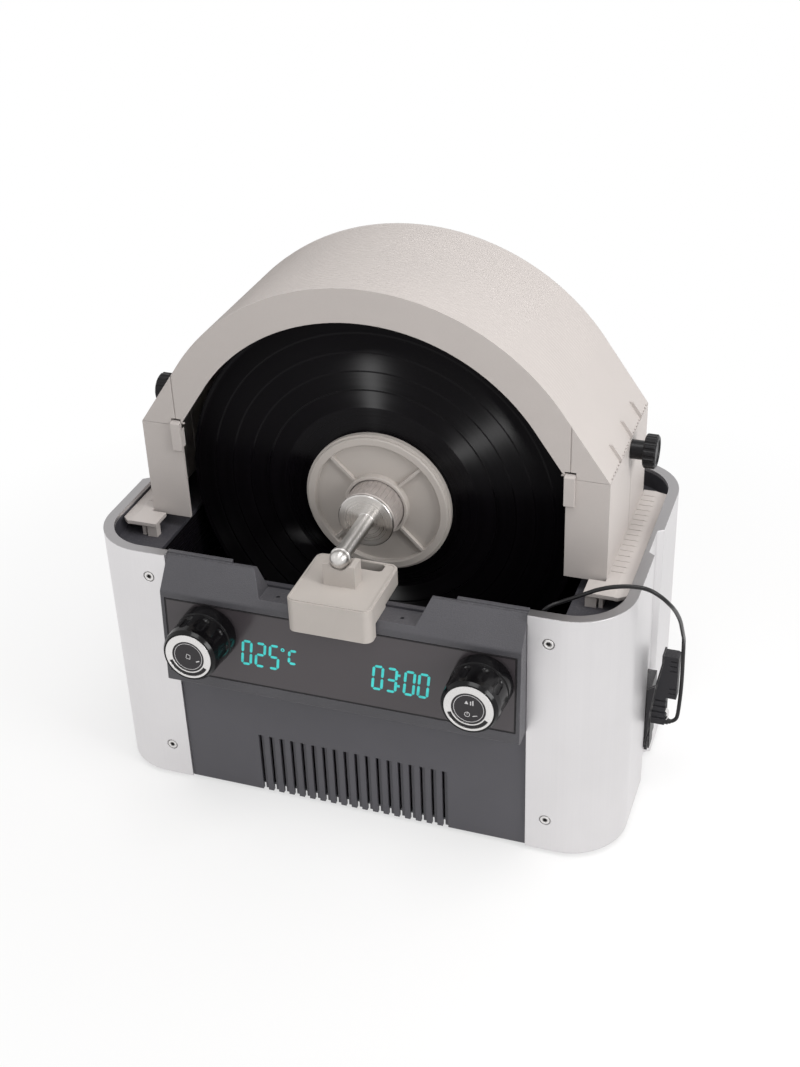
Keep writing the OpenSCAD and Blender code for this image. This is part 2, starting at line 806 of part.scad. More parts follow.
// The saddle's shell, with a slot behind the post and a fine bead round its top
module rest_saddle() {
    difference() {
        union() {
            translate([0, 0, rest_low]) linear_extrude(rest_top - rest_low - 1) rest_plan(0);
            translate([0, 0, rest_top - 1]) linear_extrude(1) rest_plan(0.8);
        }
        translate([0, 0, rest_low - 1]) linear_extrude(rest_top - rest_low + 1 - rest_wall)
            rest_plan(rest_wall);
        translate([-rest_w, ridge_y - ridge_r - 0.8, rest_low - 1])
            cube([2*rest_w, 100, pocket_z - rest_low + 1]);
        translate([-rest_w, inner_y - 1, rest_low - 1])
            cube([2*rest_w, 100, deck_z + free_gap - rest_low + 1]);
        translate([0, rest_back - rest_wall - slot_d/2, rest_top - rest_wall - 1])
            linear_extrude(rest_wall + 2) rounded(slot_w, slot_d, 3);
        translate([0, 0, rest_top - 0.5]) linear_extrude(2) rest_plan(2.2);
    }
}

module spindle_rest() {
    color("#d8d0c9") difference() {
        union() {
            rest_saddle();
            translate([-post_w/2, post_front, rest_top - rest_wall])
                cube([post_w, post_t, post_top - rest_top + rest_wall]);
        }
        on_spindle(post_front + post_t + 1) cylinder(r = rod_d/2 + running_fit, h = 30);
        on_spindle(rod_tip + 0.9) cylinder(r = rod_ring_r + running_fit, h = 20);
        upright(post_front - 1, post_t + 2) polygon([
            [-9, post_top + 0.5], [-5, post_top - 1.6], [5, post_top - 1.6], [9, post_top + 0.5]]);
    }
}

// Cover

// Corner of the roof line at the leg's top, set in by t along the slope's normal
slope_phi = atan2(leg_rise, leg_out) + acos(arch_r/norm([leg_out, leg_rise]));
inner_phi = atan2(leg_rise, leg_in) + acos(opening_r/norm([leg_in, leg_rise]));

// Arch with straight roof slopes that run off it to the leg tops, from a hair inside its edge
module arch_plan(r, phi, low) {
    corner = (r - low*sin(phi))/cos(phi);
    touch = r*0.9996;
    translate([0, arch_z]) intersection() {
        union() {
            circle(r);
            polygon([[-corner, low], touch*[-cos(phi), sin(phi)], touch*[cos(phi), sin(phi)], [corner, low]]);
        }
        translate([-2*r, low]) square([4*r, 2*r]);
    }
}

module roof_fin(y) {
    corner = (arch_r - leg_rise*sin(slope_phi))/cos(slope_phi);
    upright(y - 0.6, 1.2) translate([0, arch_z])
        polygon([[corner, leg_rise], [corner + 1, leg_rise + 3], [corner - 6, leg_rise + 13],
                 [corner - 10, leg_rise + 13]]);
}

module hood_half_details() {
    for (y = [-36.5, 0, 31.5]) roof_fin(knob_pin_y + y);
}

module cover_hood() {
    inner = cover_front + cover_wall;
    room = cover_depth - 2*cover_wall;
    seat = leg_rise + seat_gap;
    tongue_x = leg_out - cover_wall - free_gap - 2.5;
    color("#cdc4be") {
        difference() {
            union() {
                upright(cover_front, cover_depth) arch_plan(arch_r, slope_phi, seat);
                for (s = [0, 1]) mirror([s, 0, 0]) hood_half_details();
            }
            upright(inner, room) arch_plan(arch_r - cover_wall, slope_phi, seat - 1);
            upright(cover_front - 1, cover_wall + 2) arch_plan(opening_r, inner_phi, leg_rise - 1);
            for (sx = [-1, 1]) {
                translate([sx*clip_x - 0.4, cover_front - 1, leg_top]) cube([0.8, 1.6, 60]);
                translate([sx*clip_x - clip_w/2 - free_gap, cover_front - 1, leg_top - 1])
                    cube([clip_w + 2*free_gap, cover_wall + 2, clip_pin_z - leg_top + 4.4]);
                translate([sx*clip_x - clip_w/2 - 3, cover_front + 1.2, clip_pin_z]) rotate([0, 90, 0])
                    cylinder(r = 0.8 + running_fit, h = clip_w + 6);
            }
            for (sx = [-1, 1], i = [0:23])
                translate([sx*leg_out - 1, cover_front + 5 + i*5, leg_top]) cube([2, 2.4, 1.6]);
        }
        for (sx = [-1, 1])
            translate([sx*(tongue_x + 1.25) - 1.25, knob_pin_y - 14, leg_top - 18]) cube([2.5, 28, 21]);
    }
}

// A box leg, open towards the records, with the thumb screw's hole and a slit below it
module leg() {
    low = tray_z;
    tall = leg_top - low;
    depth = cover_depth;
    color("#c9c0ba") difference() {
        translate([leg_in, cover_front, low]) cube([leg_out - leg_in, depth, tall]);
        translate([leg_in - 1, cover_front + cover_wall, low - 1])
            cube([leg_out - leg_in + 1 - cover_wall, depth - 2*cover_wall, tall + 2]);
        translate([leg_out - 4, knob_pin_y, knob_pin_z]) rotate([0, 90, 0])
            cylinder(r = 3 + running_fit, h = 8);
        translate([leg_out - 4, knob_pin_y + 3, low + tray_t + 1])
            cube([8, 0.8, knob_pin_z - low - tray_t - 12]);
    }
}

// The ribbed tray beside a leg, on pegs that stand on the deck
module tray() {
    edge = body_w/2 - rim_w - 1;
    front = cover_front - 21;
    flat_x = edge - 9;
    back = cover_back + 3;
    color("#c8bfb8") {
        difference() {
            union() {
                translate([leg_out, back, 0]) rotate([90, 0, 0]) linear_extrude(back - front) polygon([
                    [0, tray_z], [0, tray_z + tray_t], [flat_x - leg_out, tray_z + tray_t],
                    [edge - leg_out, tray_z + tray_t - 1.6], [edge - leg_out, tray_z - 1.2],
                    [flat_x - leg_out, tray_z]]);
                translate([leg_out - 12, front, tray_z]) cube([12.5, cover_front - front - 3.4, tray_t]);
            }
            for (i = [0:15])
                translate([leg_out + 0.4, cover_front + 10 + i*7.4, tray_z + tray_t - 0.5]) cube([20, 1, 2]);
            translate([edge - 7, front - 1, tray_z - 3]) rotate([0, 0, -45]) cube([14, 14, 8]);
        }
        translate([leg_out - 11, front + 2, deck_z]) cube([8, 6, tray_z - deck_z]);
        translate([leg_out - 1.5, front + 3, deck_z]) cube([3, 8, tray_z - deck_z]);
        translate([leg_out + 3, back - 10, deck_z]) cube([8, 6, tray_z - deck_z]);
    }
}

module right_leg() { leg(); }
module left_leg() { mirror([1, 0, 0]) leg(); }
module right_tray() { tray(); }
module left_tray() { mirror([1, 0, 0]) tray(); }

// The wall behind the legs, with a hole for the spindle
module rear_screen() {
    color("#b9b0aa") difference() {
        translate([-leg_in - 18, cover_back, deck_z]) cube([2*leg_in + 36, cover_wall, leg_top - deck_z]);
        on_spindle(cover_back + cover_wall + 1) cylinder(r = 8, h = cover_wall + 2);
    }
}

// The clip that swings on a pin in the hood and hooks round the leg's edge
module clip() {
    y0 = cover_front + 1.2;
    low = clip_pin_z - 23;
    color("#cbc2bc") {
        translate([clip_x, 0, 0]) across(clip_w) {
            translate([y0, clip_pin_z]) circle(1.6);
            polygon([[y0 - 0.5, clip_pin_z + 1.5], [y0 - 4, clip_pin_z], [y0 - 4, low + 1], [y0 - 3, low],
                     [y0 - 1.5, low], [y0 - 1.5, leg_top + 0.6], [y0 + 0.6, leg_top + 1.2]]);
        }
        translate([clip_x - clip_w/2, y0 - 4, low + 3]) cube([0.7, 7, leg_top - low - 6]);
        translate([clip_x - clip_w/2 - 2.6, y0, clip_pin_z]) rotate([0, 90, 0])
            cylinder(r = 0.8, h = clip_w + 5.2);
    }
}

module right_clip() { clip(); }
module left_clip() { mirror([1, 0, 0]) clip(); }

// A fluted thumb knob on its screw, which clamps the hood's tongue
module thumb_knob() {
    r = thumb_d/2;
    color("#242326") translate([leg_out, knob_pin_y, knob_pin_z]) rotate([0, 90, 0]) difference() {
        rotate_extrude() polygon([
            [0, -cover_wall], [3, -cover_wall], [3, free_gap], [7, free_gap],
            [7, 10], [r - 1, 10], [r, 11], [r, 18], [r - 1.2, 19], [r - 3.5, 19], [r - 4, 18.2], [0, 18.2]]);
        for (a = [0:24:336]) rotate(a) translate([r + 0.9, 0, 9]) cylinder(r = 1.9, h = 12);
    }
}

module right_thumb_knob() { thumb_knob(); }
module left_thumb_knob() { mirror([1, 0, 0]) thumb_knob(); }

// Side unit

side_x = body_w/2;
side_y = -14;
stub_y = -12;
stub_z = foot_h + 57;
// Outer line of the bracket's strap, from its foot to its top
strap = [[3.9, 29], [3.9, 62], [7.4, 91], [11.1, 111], [11.1, 118.5]];

// The bracket: a shoe in the channel, a bent strap and a cheek in front
module side_bracket() {
    shoe_x = side_x - channel_depth;
    color("#3a393c") {
        translate([shoe_x, side_y, foot_h + 29]) cube([channel_depth + 2.5, 26, 56]);
        translate([side_x, side_y + 12, foot_h]) rotate([90, 0, 0]) linear_extrude(12)
            polygon(concat(strap, [for (i = [len(strap) - 1:-1:0]) strap[i] - [1.5, 0]]));
        difference() {
            translate([side_x, side_y, foot_h]) rotate([90, 0, 0]) linear_extrude(2.6)
                polygon([[0.2, 29], [2.7, 29], [2.5, 54], [3.2, 64], [6.4, 91], [0.2, 86.6]]);
            translate([side_x + 0.8, side_y - 4, foot_h + 34]) rotate([0, 8, 0]) cube([0.8, 6, 14]);
        }
    }
}

// The ribbed sensor box, stepped where it follows the strap
module side_connector() {
    color("#4a494d") difference() {
        union() {
            translate([side_x, side_y + sensor_d, foot_h]) rotate([90, 0, 0]) linear_extrude(sensor_d)
                polygon([strap[1] - [0, 8], [14.4, 54], [14.4, 80], [22, 80], [22, 117.5], [20.5, 118.5],
                         strap[4], strap[3], strap[2], strap[1]]);
            translate([side_x + 14, stub_y, stub_z]) rotate([0, 90, 0]) cylinder(r = 2.6, h = 1.6);
        }
        for (z = [59.5, 65, 70.5, 76]) translate([side_x + 1, side_y - 1, foot_h + z]) cube([30, 1.8, 1.6]);
        for (z = [84, 88.5, 105, 109.5, 114])
            translate([side_x + 16, side_y - 1, foot_h + z]) cube([5, 1.6, 1.2]);
        translate([side_x + 13.4, side_y + 2, foot_h + 61]) cube([3, 3, 14]);
    }
}

// Route of the lead, from the connector over the rim to the probe
lead_route = [
    [219.6, -12, 61], [221, -12, 61], [223.5, -11.9, 61.5], [225.6, -11.6, 62.9], [227, -11.2, 65],
    [227.5, -10.9, 67.5], [227.9, -10.7, 72], [228.3, -10.6, 80], [228.6, -10.6, 88], [228.8, -11, 98],
    [229, -13, 110], [229, -15, 124], [229, -17, 138], [229.4, -22, 147], [229.8, -30, 156],
    [230, -40, 168.5], [230, -50, 181], [229.2, -59, 192], [228, -67.4, 201.6], [225.5, -75.8, 211.4],
    [219.5, -80.5, 220], [211.5, -82.8, 225.4], [203.6, -83.4, 226.4], [191, -84.6, 225.2],
    [178.5, -86.6, 221.8], [170, -87.8, 217.6], [160, -89.8, 212.8], [153, -91.4, 209.6],
    [148.2, -94, 208.2], [144.7, -96.3, 206.3], [142.6, -97.6, 203.8], [142, -98, 200.8], [142, -98, 198]];

function unit_cross(a, b) = cross(a, b)/norm(cross(a, b));

// One ring of the tube, square to the route at point i
function tube_ring(route, i, r, sides) =
    let (before = route[max(i - 1, 0)], after = route[min(i + 1, len(route) - 1)],
         ahead = (after - before)/norm(after - before),
         side = unit_cross(ahead, [0.3, 1, 0.2]), up = cross(side, ahead))
    [for (k = [0:sides - 1]) route[i] + r*cos(360*k/sides)*side + r*sin(360*k/sides)*up];

module tube(route, r, sides) {
    rings = len(route);
    points = [for (i = [0:rings - 1]) each tube_ring(route, i, r, sides)];
    walls = [for (i = [0:rings - 2], k = [0:sides - 1])
        [i*sides + k, i*sides + (k + 1) % sides, (i + 1)*sides + (k + 1) % sides, (i + 1)*sides + k]];
    first = [for (k = [0:sides - 1]) sides - 1 - k];
    last = [for (k = [0:sides - 1]) (rings - 1)*sides + k];
    polyhedron(points, concat([first], walls, [last]), convexity = 8);
}

module lead() { color("#1b1b1d") tube(lead_route, lead_d/2, 8); }

// The probe that the lead enters, hooked over the front corner of the bath
module lead_probe() {
    hook = 2;
    color("#2a2a2c") translate([bath_w/2 - 14, bath_front + 6, deck_z]) {
        translate([0, 0, -46]) cylinder(r = 4, h = 46 + hook);
        rotate(-67) translate([0, -3, 0]) cube([8.5, 6, hook]);
    }
}

left_shell();
right_shell();
front_panel();
rear_panel();
base_plate();
foot_1();
foot_2();
foot_3();
foot_4();
foot_5();
shell_screws();
deck();
tank();
transducer_1();
transducer_2();
transducer_3();
generator_board();
control_fascia();
display_window();
left_encoder();
right_encoder();
left_shaft();
right_shaft();
left_knob();
right_knob();
left_ring();
right_ring();
left_cap();
right_cap();
power_inlet();
power_rocker();
drive_housing();
drive_motor();
spindle();
record_1();
record_2();
record_3();
record_4();
spacer_1();
spacer_2();
spacer_3();
front_protector();
rear_protector();
clamp_collar();
clamp_rod();
spindle_rest();
cover_hood();
left_leg();
right_leg();
left_tray();
right_tray();
rear_screen();
left_clip();
right_clip();
left_thumb_knob();
right_thumb_knob();
side_bracket();
side_connector();
lead();
lead_probe();
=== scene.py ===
import math
import bpy
import bmesh
from mathutils import Matrix, Vector


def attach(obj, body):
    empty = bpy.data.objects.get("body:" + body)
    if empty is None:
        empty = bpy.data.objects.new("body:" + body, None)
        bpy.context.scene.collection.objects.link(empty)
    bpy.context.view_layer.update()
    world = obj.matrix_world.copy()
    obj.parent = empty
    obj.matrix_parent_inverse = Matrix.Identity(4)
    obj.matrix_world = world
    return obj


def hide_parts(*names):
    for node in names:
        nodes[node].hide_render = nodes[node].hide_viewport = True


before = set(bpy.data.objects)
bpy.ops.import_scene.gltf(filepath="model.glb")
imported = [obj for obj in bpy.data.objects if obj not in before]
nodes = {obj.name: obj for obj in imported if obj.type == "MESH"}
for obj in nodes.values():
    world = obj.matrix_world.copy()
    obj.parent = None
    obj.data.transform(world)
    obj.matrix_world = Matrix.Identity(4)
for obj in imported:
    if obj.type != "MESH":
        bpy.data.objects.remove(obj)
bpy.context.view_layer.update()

mm = 0.001

view = {
    "turn": 20.24,                      # degrees round from the front
    "rise": 31.62,                      # degrees above the table
    "roll": -2.24,
    "distance": 1.19995,
    "target": (0.00415, 0.0, 0.18562),
    "lens": 52.58, "film": 36,          # millimetres; the film's height takes in 1067 pixels
    "near": 0.05, "far": 60,
}


def setCamera():
    turn, rise = math.radians(view["turn"]), math.radians(view["rise"])
    away = Vector((math.sin(turn)*math.cos(rise), -math.cos(turn)*math.cos(rise), math.sin(rise)))
    optics = bpy.data.cameras.new("camera")
    optics.sensor_fit = "VERTICAL"
    optics.sensor_height = view["film"]
    optics.lens = view["lens"]
    optics.clip_start = view["near"]
    optics.clip_end = view["far"]
    camera = bpy.data.objects.new("camera", optics)
    bpy.context.scene.collection.objects.link(camera)
    stand = Matrix.Translation(Vector(view["target"]) + away*view["distance"])
    aim = away.to_track_quat("Z", "Y").to_matrix().to_4x4()
    camera.matrix_world = stand @ aim @ Matrix.Rotation(math.radians(view["roll"]), 4, "Z")
    bpy.context.scene.camera = camera


setCamera()
print("camera set")


# Small helpers for meshes

def addPiece(name, points, faces, body, slotName, material, smooth=False):
    mesh = bpy.data.meshes.new(name)
    mesh.from_pydata([tuple(p) for p in points], [], faces)
    work = bmesh.new()
    work.from_mesh(mesh)
    bmesh.ops.recalc_face_normals(work, faces=work.faces)
    work.to_mesh(mesh)
    work.free()
    if smooth:
        mesh.shade_smooth()
    mesh.materials.append(material)
    piece = bpy.data.objects.new(name, mesh)
    bpy.context.scene.collection.objects.link(piece)
    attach(piece, body)
    return piece


# Flat outlines raised from low to high over a face
def raised(name, outlines, place, low, high, body, slotName, material):
    points, faces = [], []
    for outline in outlines:
        start, count = len(points), len(outline)
        points += [place(u, v, out) for out in (low, high) for u, v in outline]
        faces.append(tuple(start + count - 1 - i for i in range(count)))
        faces.append(tuple(start + count + i for i in range(count)))
        for i in range(count):
            j = (i + 1) % count
            faces.append((start + i, start + j, start + count + j, start + count + i))
    return addPiece(name, points, faces, body, slotName, material)


# A profile of (radius, height) pairs turned about an axis
def turned(name, profile, foot, axis, body, slotName, material, steps=48, crease=35):
    along = Vector(axis).normalized()
    side = along.orthogonal().normalized()
    across = along.cross(side)
    points, faces = [], []
    for radius, height in profile:
        for k in range(steps):
            a = 2*math.pi*k/steps
            outward = side*math.cos(a) + across*math.sin(a)
            points.append(Vector(foot) + along*height + outward*radius)
    rows = len(profile)
    for i in range(rows):
        j = (i + 1) % rows
        for k in range(steps):
            m = (k + 1) % steps
            faces.append((i*steps + k, i*steps + m, j*steps + m, j*steps + k))
    piece = addPiece(name, points, faces, body, slotName, material, smooth=True)
    piece.data.set_sharp_from_angle(angle=math.radians(crease))
    return piece


def barOutline(left, low, right, high):
    return [(left, low), (right, low), (right, high), (left, high)]


def arcOutline(inner, outer, first, last, steps):
    angles = [math.radians(first + (last - first)*i/steps) for i in range(steps + 1)]
    return ([(outer*math.cos(a), outer*math.sin(a)) for a in angles]
            + [(inner*math.cos(a), inner*math.sin(a)) for a in reversed(angles)])


# A flat ring about (u, v), as two halves
def ringOutlines(inner, outer, u, v, steps):
    halves = [arcOutline(inner, outer, first, first + 180, steps) for first in (0, 180)]
    return [[(x + u, y + v) for x, y in half] for half in halves]


# Small helpers for shader nodes

# Six hex digits as a linear colour, lighter or darker by a gain
def colour(text, gain=1.0):
    parts = [int(text[i:i + 2], 16)/255 for i in (0, 2, 4)]
    plain = [p/12.92 if p <= 0.04045 else ((p + 0.055)/1.055)**2.4 for p in parts]
    return tuple(min(p*gain, 1.0) for p in plain) + (1.0,)


def feed(tree, socket, value):
    if isinstance(value, bpy.types.NodeSocket):
        tree.links.new(value, socket)
    else:
        socket.default_value = value


def put(tree, kind, inputs=None, **settings):
    node = tree.nodes.new("ShaderNode" + kind)
    for key, value in settings.items():
        setattr(node, key, value)
    for key, value in (inputs or {}).items():
        feed(tree, node.inputs[key], value)
    return node


def reckon(tree, operation, *values):
    node = put(tree, "Math", operation=operation)
    for socket, value in zip(node.inputs, values):
        feed(tree, socket, value)
    return node.outputs[0]


def remap(tree, value, low, high, outLow=0.0, outHigh=1.0):
    return put(tree, "MapRange", {0: value, 1: low, 2: high, 3: outLow, 4: outHigh}).outputs[0]


def blendColours(tree, mask, under, over):
    node = put(tree, "Mix", data_type="RGBA")
    for index, value in ((0, mask), (6, under), (7, over)):
        feed(tree, node.inputs[index], value)
    return node.outputs[2]


def newGroup(name, ins, outs):
    group = bpy.data.node_groups.new(name, "ShaderNodeTree")
    for label, kind, value in ins:
        socket = group.interface.new_socket(label, in_out="INPUT", socket_type="NodeSocket" + kind)
        socket.default_value = value
    for label, kind in outs:
        group.interface.new_socket(label, in_out="OUTPUT", socket_type="NodeSocket" + kind)
    given = group.nodes.new("NodeGroupInput").outputs
    return group, given, group.nodes.new("NodeGroupOutput").inputs


def useGroup(tree, name, **values):
    node = tree.nodes.new("ShaderNodeGroup")
    node.node_tree = bpy.data.node_groups[name]
    for key, value in values.items():
        feed(tree, node.inputs[key], value)
    return node.outputs


# Effects that several finishes share

# Edges where the bevelled normal leaves the flat one, broken up by specks
wornForm = {"speckScale": 260.0, "speckDetail": 3.0, "speckRange": (0.3, 0.62),
            "bendRange": (0.995, 0.86)}


def makeWornEdges():
    group, given, result = newGroup("wornEdges", [("Width", "Float", 0.0006)],
                                    [("Mask", "Float"), ("Normal", "Vector")])
    bevel = put(group, "Bevel", {"Radius": given["Width"]}, samples=4).outputs[0]
    flat = put(group, "NewGeometry").outputs["Normal"]
    agree = put(group, "VectorMath", {0: bevel, 1: flat}, operation="DOT_PRODUCT").outputs["Value"]
    place = put(group, "TexCoord").outputs["Object"]
    specks = put(group, "TexNoise", {"Vector": place, "Scale": wornForm["speckScale"],
                                     "Detail": wornForm["speckDetail"]}).outputs[0]
    bent = remap(group, agree, *wornForm["bendRange"])
    spotted = remap(group, specks, *wornForm["speckRange"])
    feed(group, result["Mask"], reckon(group, "MULTIPLY", bent, spotted))
    feed(group, result["Normal"], bevel)


grainForm = {"smoothness": 0.6, "cellShare": 0.6, "fineRatio": 1.7, "fineDetail": 2.0,
             "fineRoughness": 0.6, "heightRange": (0.4, 1.1)}


def makeMouldedGrain():
    group, given, result = newGroup("mouldedGrain", [("Size", "Float", 0.0007)],
                                    [("Height", "Float"), ("Mask", "Float")])
    place = put(group, "TexCoord").outputs["Object"]
    scale = reckon(group, "DIVIDE", 1.0, given["Size"])
    cells = put(group, "TexVoronoi", {"Vector": place, "Scale": scale,
                                      "Smoothness": grainForm["smoothness"]},
                feature="SMOOTH_F1").outputs["Distance"]
    fineScale = reckon(group, "MULTIPLY", scale, grainForm["fineRatio"])
    fine = put(group, "TexNoise", {"Vector": place, "Scale": fineScale,
                                   "Detail": grainForm["fineDetail"],
                                   "Roughness": grainForm["fineRoughness"]}).outputs[0]
    coarse = reckon(group, "MULTIPLY", cells, grainForm["cellShare"])
    height = reckon(group, "ADD", coarse, fine)
    feed(group, result["Height"], height)
    feed(group, result["Mask"], remap(group, height, *grainForm["heightRange"]))


driftForm = {"detail": 3.0, "roughness": 0.55, "range": (0.3, 0.7)}


def makeToneDrift():
    group, given, result = newGroup("toneDrift", [("Size", "Float", 0.05)], [("Mask", "Float")])
    place = put(group, "TexCoord").outputs["Object"]
    scale = reckon(group, "DIVIDE", 1.0, given["Size"])
    cloud = put(group, "TexNoise", {"Vector": place, "Scale": scale, "Detail": driftForm["detail"],
                                    "Roughness": driftForm["roughness"]}).outputs[0]
    feed(group, result["Mask"], remap(group, cloud, *driftForm["range"]))


# Dust lies on faces that look up, in small drifts and single specks
dustForm = {"upRange": (0.55, 0.95), "speckDetail": 4.0, "speckRange": (0.52, 0.72),
            "filmScale": 22.0, "filmDetail": 2.0, "filmRange": (0.35, 0.65), "filmLeast": 0.3}


def makeSettledDust():
    group, given, result = newGroup("settledDust", [("Size", "Float", 0.0015)], [("Mask", "Float")])
    coords = put(group, "TexCoord").outputs
    up = put(group, "SeparateXYZ", {0: coords["Normal"]}).outputs["Z"]
    scale = reckon(group, "DIVIDE", 1.0, given["Size"])
    specks = put(group, "TexNoise", {"Vector": coords["Object"], "Scale": scale,
                                     "Detail": dustForm["speckDetail"]}).outputs[0]
    film = put(group, "TexNoise", {"Vector": coords["Object"], "Scale": dustForm["filmScale"],
                                   "Detail": dustForm["filmDetail"]}).outputs[0]
    lying = reckon(group, "MULTIPLY", remap(group, up, *dustForm["upRange"]),
                   remap(group, specks, *dustForm["speckRange"]))
    thick = remap(group, film, *dustForm["filmRange"], dustForm["filmLeast"], 1.0)
    feed(group, result["Mask"], reckon(group, "MULTIPLY", lying, thick))


# Long thin marks, such as a brushed or drawn surface has
lineForm = {"detail": 3.0, "roughness": 0.65, "range": (0.3, 0.7)}


def makeDrawnLines():
    group, given, result = newGroup("drawnLines", [("Stretch", "Vector", (1500.0, 1500.0, 12.0))],
                                    [("Height", "Float"), ("Mask", "Float")])
    place = put(group, "TexCoord").outputs["Object"]
    pulled = put(group, "VectorMath", {0: place, 1: given["Stretch"]}, operation="MULTIPLY")
    lines = put(group, "TexNoise", {"Vector": pulled.outputs[0], "Scale": 1.0,
                                    "Detail": lineForm["detail"],
                                    "Roughness": lineForm["roughness"]}).outputs[0]
    feed(group, result["Height"], lines)
    feed(group, result["Mask"], remap(group, lines, *lineForm["range"]))


# Fine rings about the spindle axis, and broader bands among them
ringForm = {"axisAt": 0.231, "fineDetail": 2.0, "bandDetail": 4.0, "bandRoughness": 0.7,
            "bandRange": (0.36, 0.64)}


def makeTurnedRings():
    group, given, result = newGroup("turnedRings",
                                    [("Pitch", "Float", 0.0006), ("Band", "Float", 0.009)],
                                    [("Height", "Float"), ("Mask", "Float"), ("Radius", "Float")])
    axes = put(group, "SeparateXYZ", {0: put(group, "TexCoord").outputs["Object"]}).outputs
    rise = reckon(group, "SUBTRACT", axes["Z"], ringForm["axisAt"])
    radius = reckon(group, "SQRT", reckon(group, "ADD",
                                          reckon(group, "MULTIPLY", axes["X"], axes["X"]),
                                          reckon(group, "MULTIPLY", rise, rise)))
    fine = put(group, "TexNoise", {"W": reckon(group, "DIVIDE", radius, given["Pitch"]),
                                   "Scale": 1.0, "Detail": ringForm["fineDetail"]},
               noise_dimensions="1D").outputs[0]
    band = put(group, "TexNoise", {"W": reckon(group, "DIVIDE", radius, given["Band"]),
                                   "Scale": 1.0, "Detail": ringForm["bandDetail"],
                                   "Roughness": ringForm["bandRoughness"]},
               noise_dimensions="1D").outputs[0]
    feed(group, result["Height"], fine)
    feed(group, result["Mask"], remap(group, band, *ringForm["bandRange"]))
    feed(group, result["Radius"], radius)


for make in (makeWornEdges, makeMouldedGrain, makeToneDrift, makeSettledDust, makeDrawnLines,
             makeTurnedRings):
    make()
print("shared effects built")


# Finishes

def newFinish(name, look):
    material = bpy.data.materials.new(name)
    material.use_nodes = True
    tree = material.node_tree
    tree.nodes.clear()
    shader = put(tree, "BsdfPrincipled", {"Metallic": look.get("metallic", 0.0),
                                          "Specular IOR Level": look.get("gloss", 0.35)})
    tree.links.new(shader.outputs[0], put(tree, "OutputMaterial").inputs["Surface"])
    return material, tree, shader


# One colour made darker and lighter by a mask
def shaded(tree, mask, text, low, high):
    return blendColours(tree, mask, colour(text, low), colour(text, high))


# A colour over the tone below, by a share of a mask
def laidOver(tree, tone, mask, share, over):
    return blendColours(tree, reckon(tree, "MULTIPLY", mask, share), tone, over)


def roughBetween(tree, mask, look):
    rough = look["roughness"]
    return remap(tree, mask, 0.0, 1.0, rough - look["smoother"], rough + look["rougher"])


def addBump(tree, shader, height, depth, normal=None):
    bump = put(tree, "Bump", {"Height": height, "Distance": depth})
    if normal is not None:
        feed(tree, bump.inputs["Normal"], normal)
    feed(tree, shader.inputs["Normal"], bump.outputs[0])


# Gloss drawn out along the radius, as rings about the spindle draw it
def drawOutGloss(tree, shader, amount):
    quarterTurn = 0.25
    shader.inputs["Anisotropic"].default_value = amount
    shader.inputs["Anisotropic Rotation"].default_value = quarterTurn
    around = put(tree, "Tangent", direction_type="RADIAL", axis="Y")
    feed(tree, shader.inputs["Tangent"], around.outputs[0])


# What a moulded surface has unless its own look says otherwise
mouldedBase = {"driftSize": 0.05, "drift": 0.04, "edgeWidth": 0.0005, "wear": 0.3,
               "mottle": 0.08, "pitTone": 0.45, "dust": 0.12, "dustSize": 0.0012,
               "dustColour": "b9b5ae", "smoother": 0.04, "rougher": 0.05}


# Moulded or painted surfaces: drift of tone, rubbed edges, a little dust, a grain in the bump
def moulded(name, ownLook):
    look = {**mouldedBase, **ownLook}
    material, tree, shader = newFinish(name, look)
    drift = useGroup(tree, "toneDrift", Size=look["driftSize"])["Mask"]
    grain = useGroup(tree, "mouldedGrain", Size=look["grain"])
    edges = useGroup(tree, "wornEdges", Width=look["edgeWidth"])
    dust = useGroup(tree, "settledDust", Size=look["dustSize"])["Mask"]
    tone = shaded(tree, drift, look["colour"], 1 - look["drift"], 1 + look["drift"])
    pits = colour(look["colour"], look["pitTone"])
    tone = laidOver(tree, tone, grain["Mask"], look["mottle"], pits)
    tone = laidOver(tree, tone, edges["Mask"], look["wear"], colour(look["edge"]))
    tone = laidOver(tree, tone, dust, look["dust"], colour(look["dustColour"]))
    feed(tree, shader.inputs["Base Color"], tone)
    feed(tree, shader.inputs["Roughness"], roughBetween(tree, drift, look))
    addBump(tree, shader, grain["Height"], look["depth"], edges["Normal"])
    return material


# What a bare metal has unless its own look says otherwise
metalBase = {"driftSize": 0.04, "drift": 0.06, "edgeWidth": 0.0004, "wear": 0.4, "mottle": 0.15,
             "markTone": 0.7, "bandPitches": 8, "smoother": 0.05, "rougher": 0.06}


# Bare metals: drawn lines along one direction, or rings about the spindle
def bareMetal(name, ownLook):
    look = {**metalBase, **ownLook}
    material, tree, shader = newFinish(name, look)
    edges = useGroup(tree, "wornEdges", Width=look["edgeWidth"])
    drift = useGroup(tree, "toneDrift", Size=look["driftSize"])["Mask"]
    if "pitch" in look:
        band = look["pitch"]*look["bandPitches"]
        marks = useGroup(tree, "turnedRings", Pitch=look["pitch"], Band=band)
    else:
        marks = useGroup(tree, "drawnLines", Stretch=look["stretch"])
    tone = shaded(tree, drift, look["colour"], 1 - look["drift"], 1 + look["drift"])
    dull = colour(look["colour"], look["markTone"])
    tone = laidOver(tree, tone, marks["Mask"], look["mottle"], dull)
    tone = laidOver(tree, tone, edges["Mask"], look["wear"], colour(look["edge"]))
    feed(tree, shader.inputs["Base Color"], tone)
    feed(tree, shader.inputs["Roughness"], roughBetween(tree, marks["Mask"], look))
    if "anisotropy" in look:
        drawOutGloss(tree, shader, look["anisotropy"])
    addBump(tree, shader, marks["Height"], look["depth"], edges["Normal"])
    return material


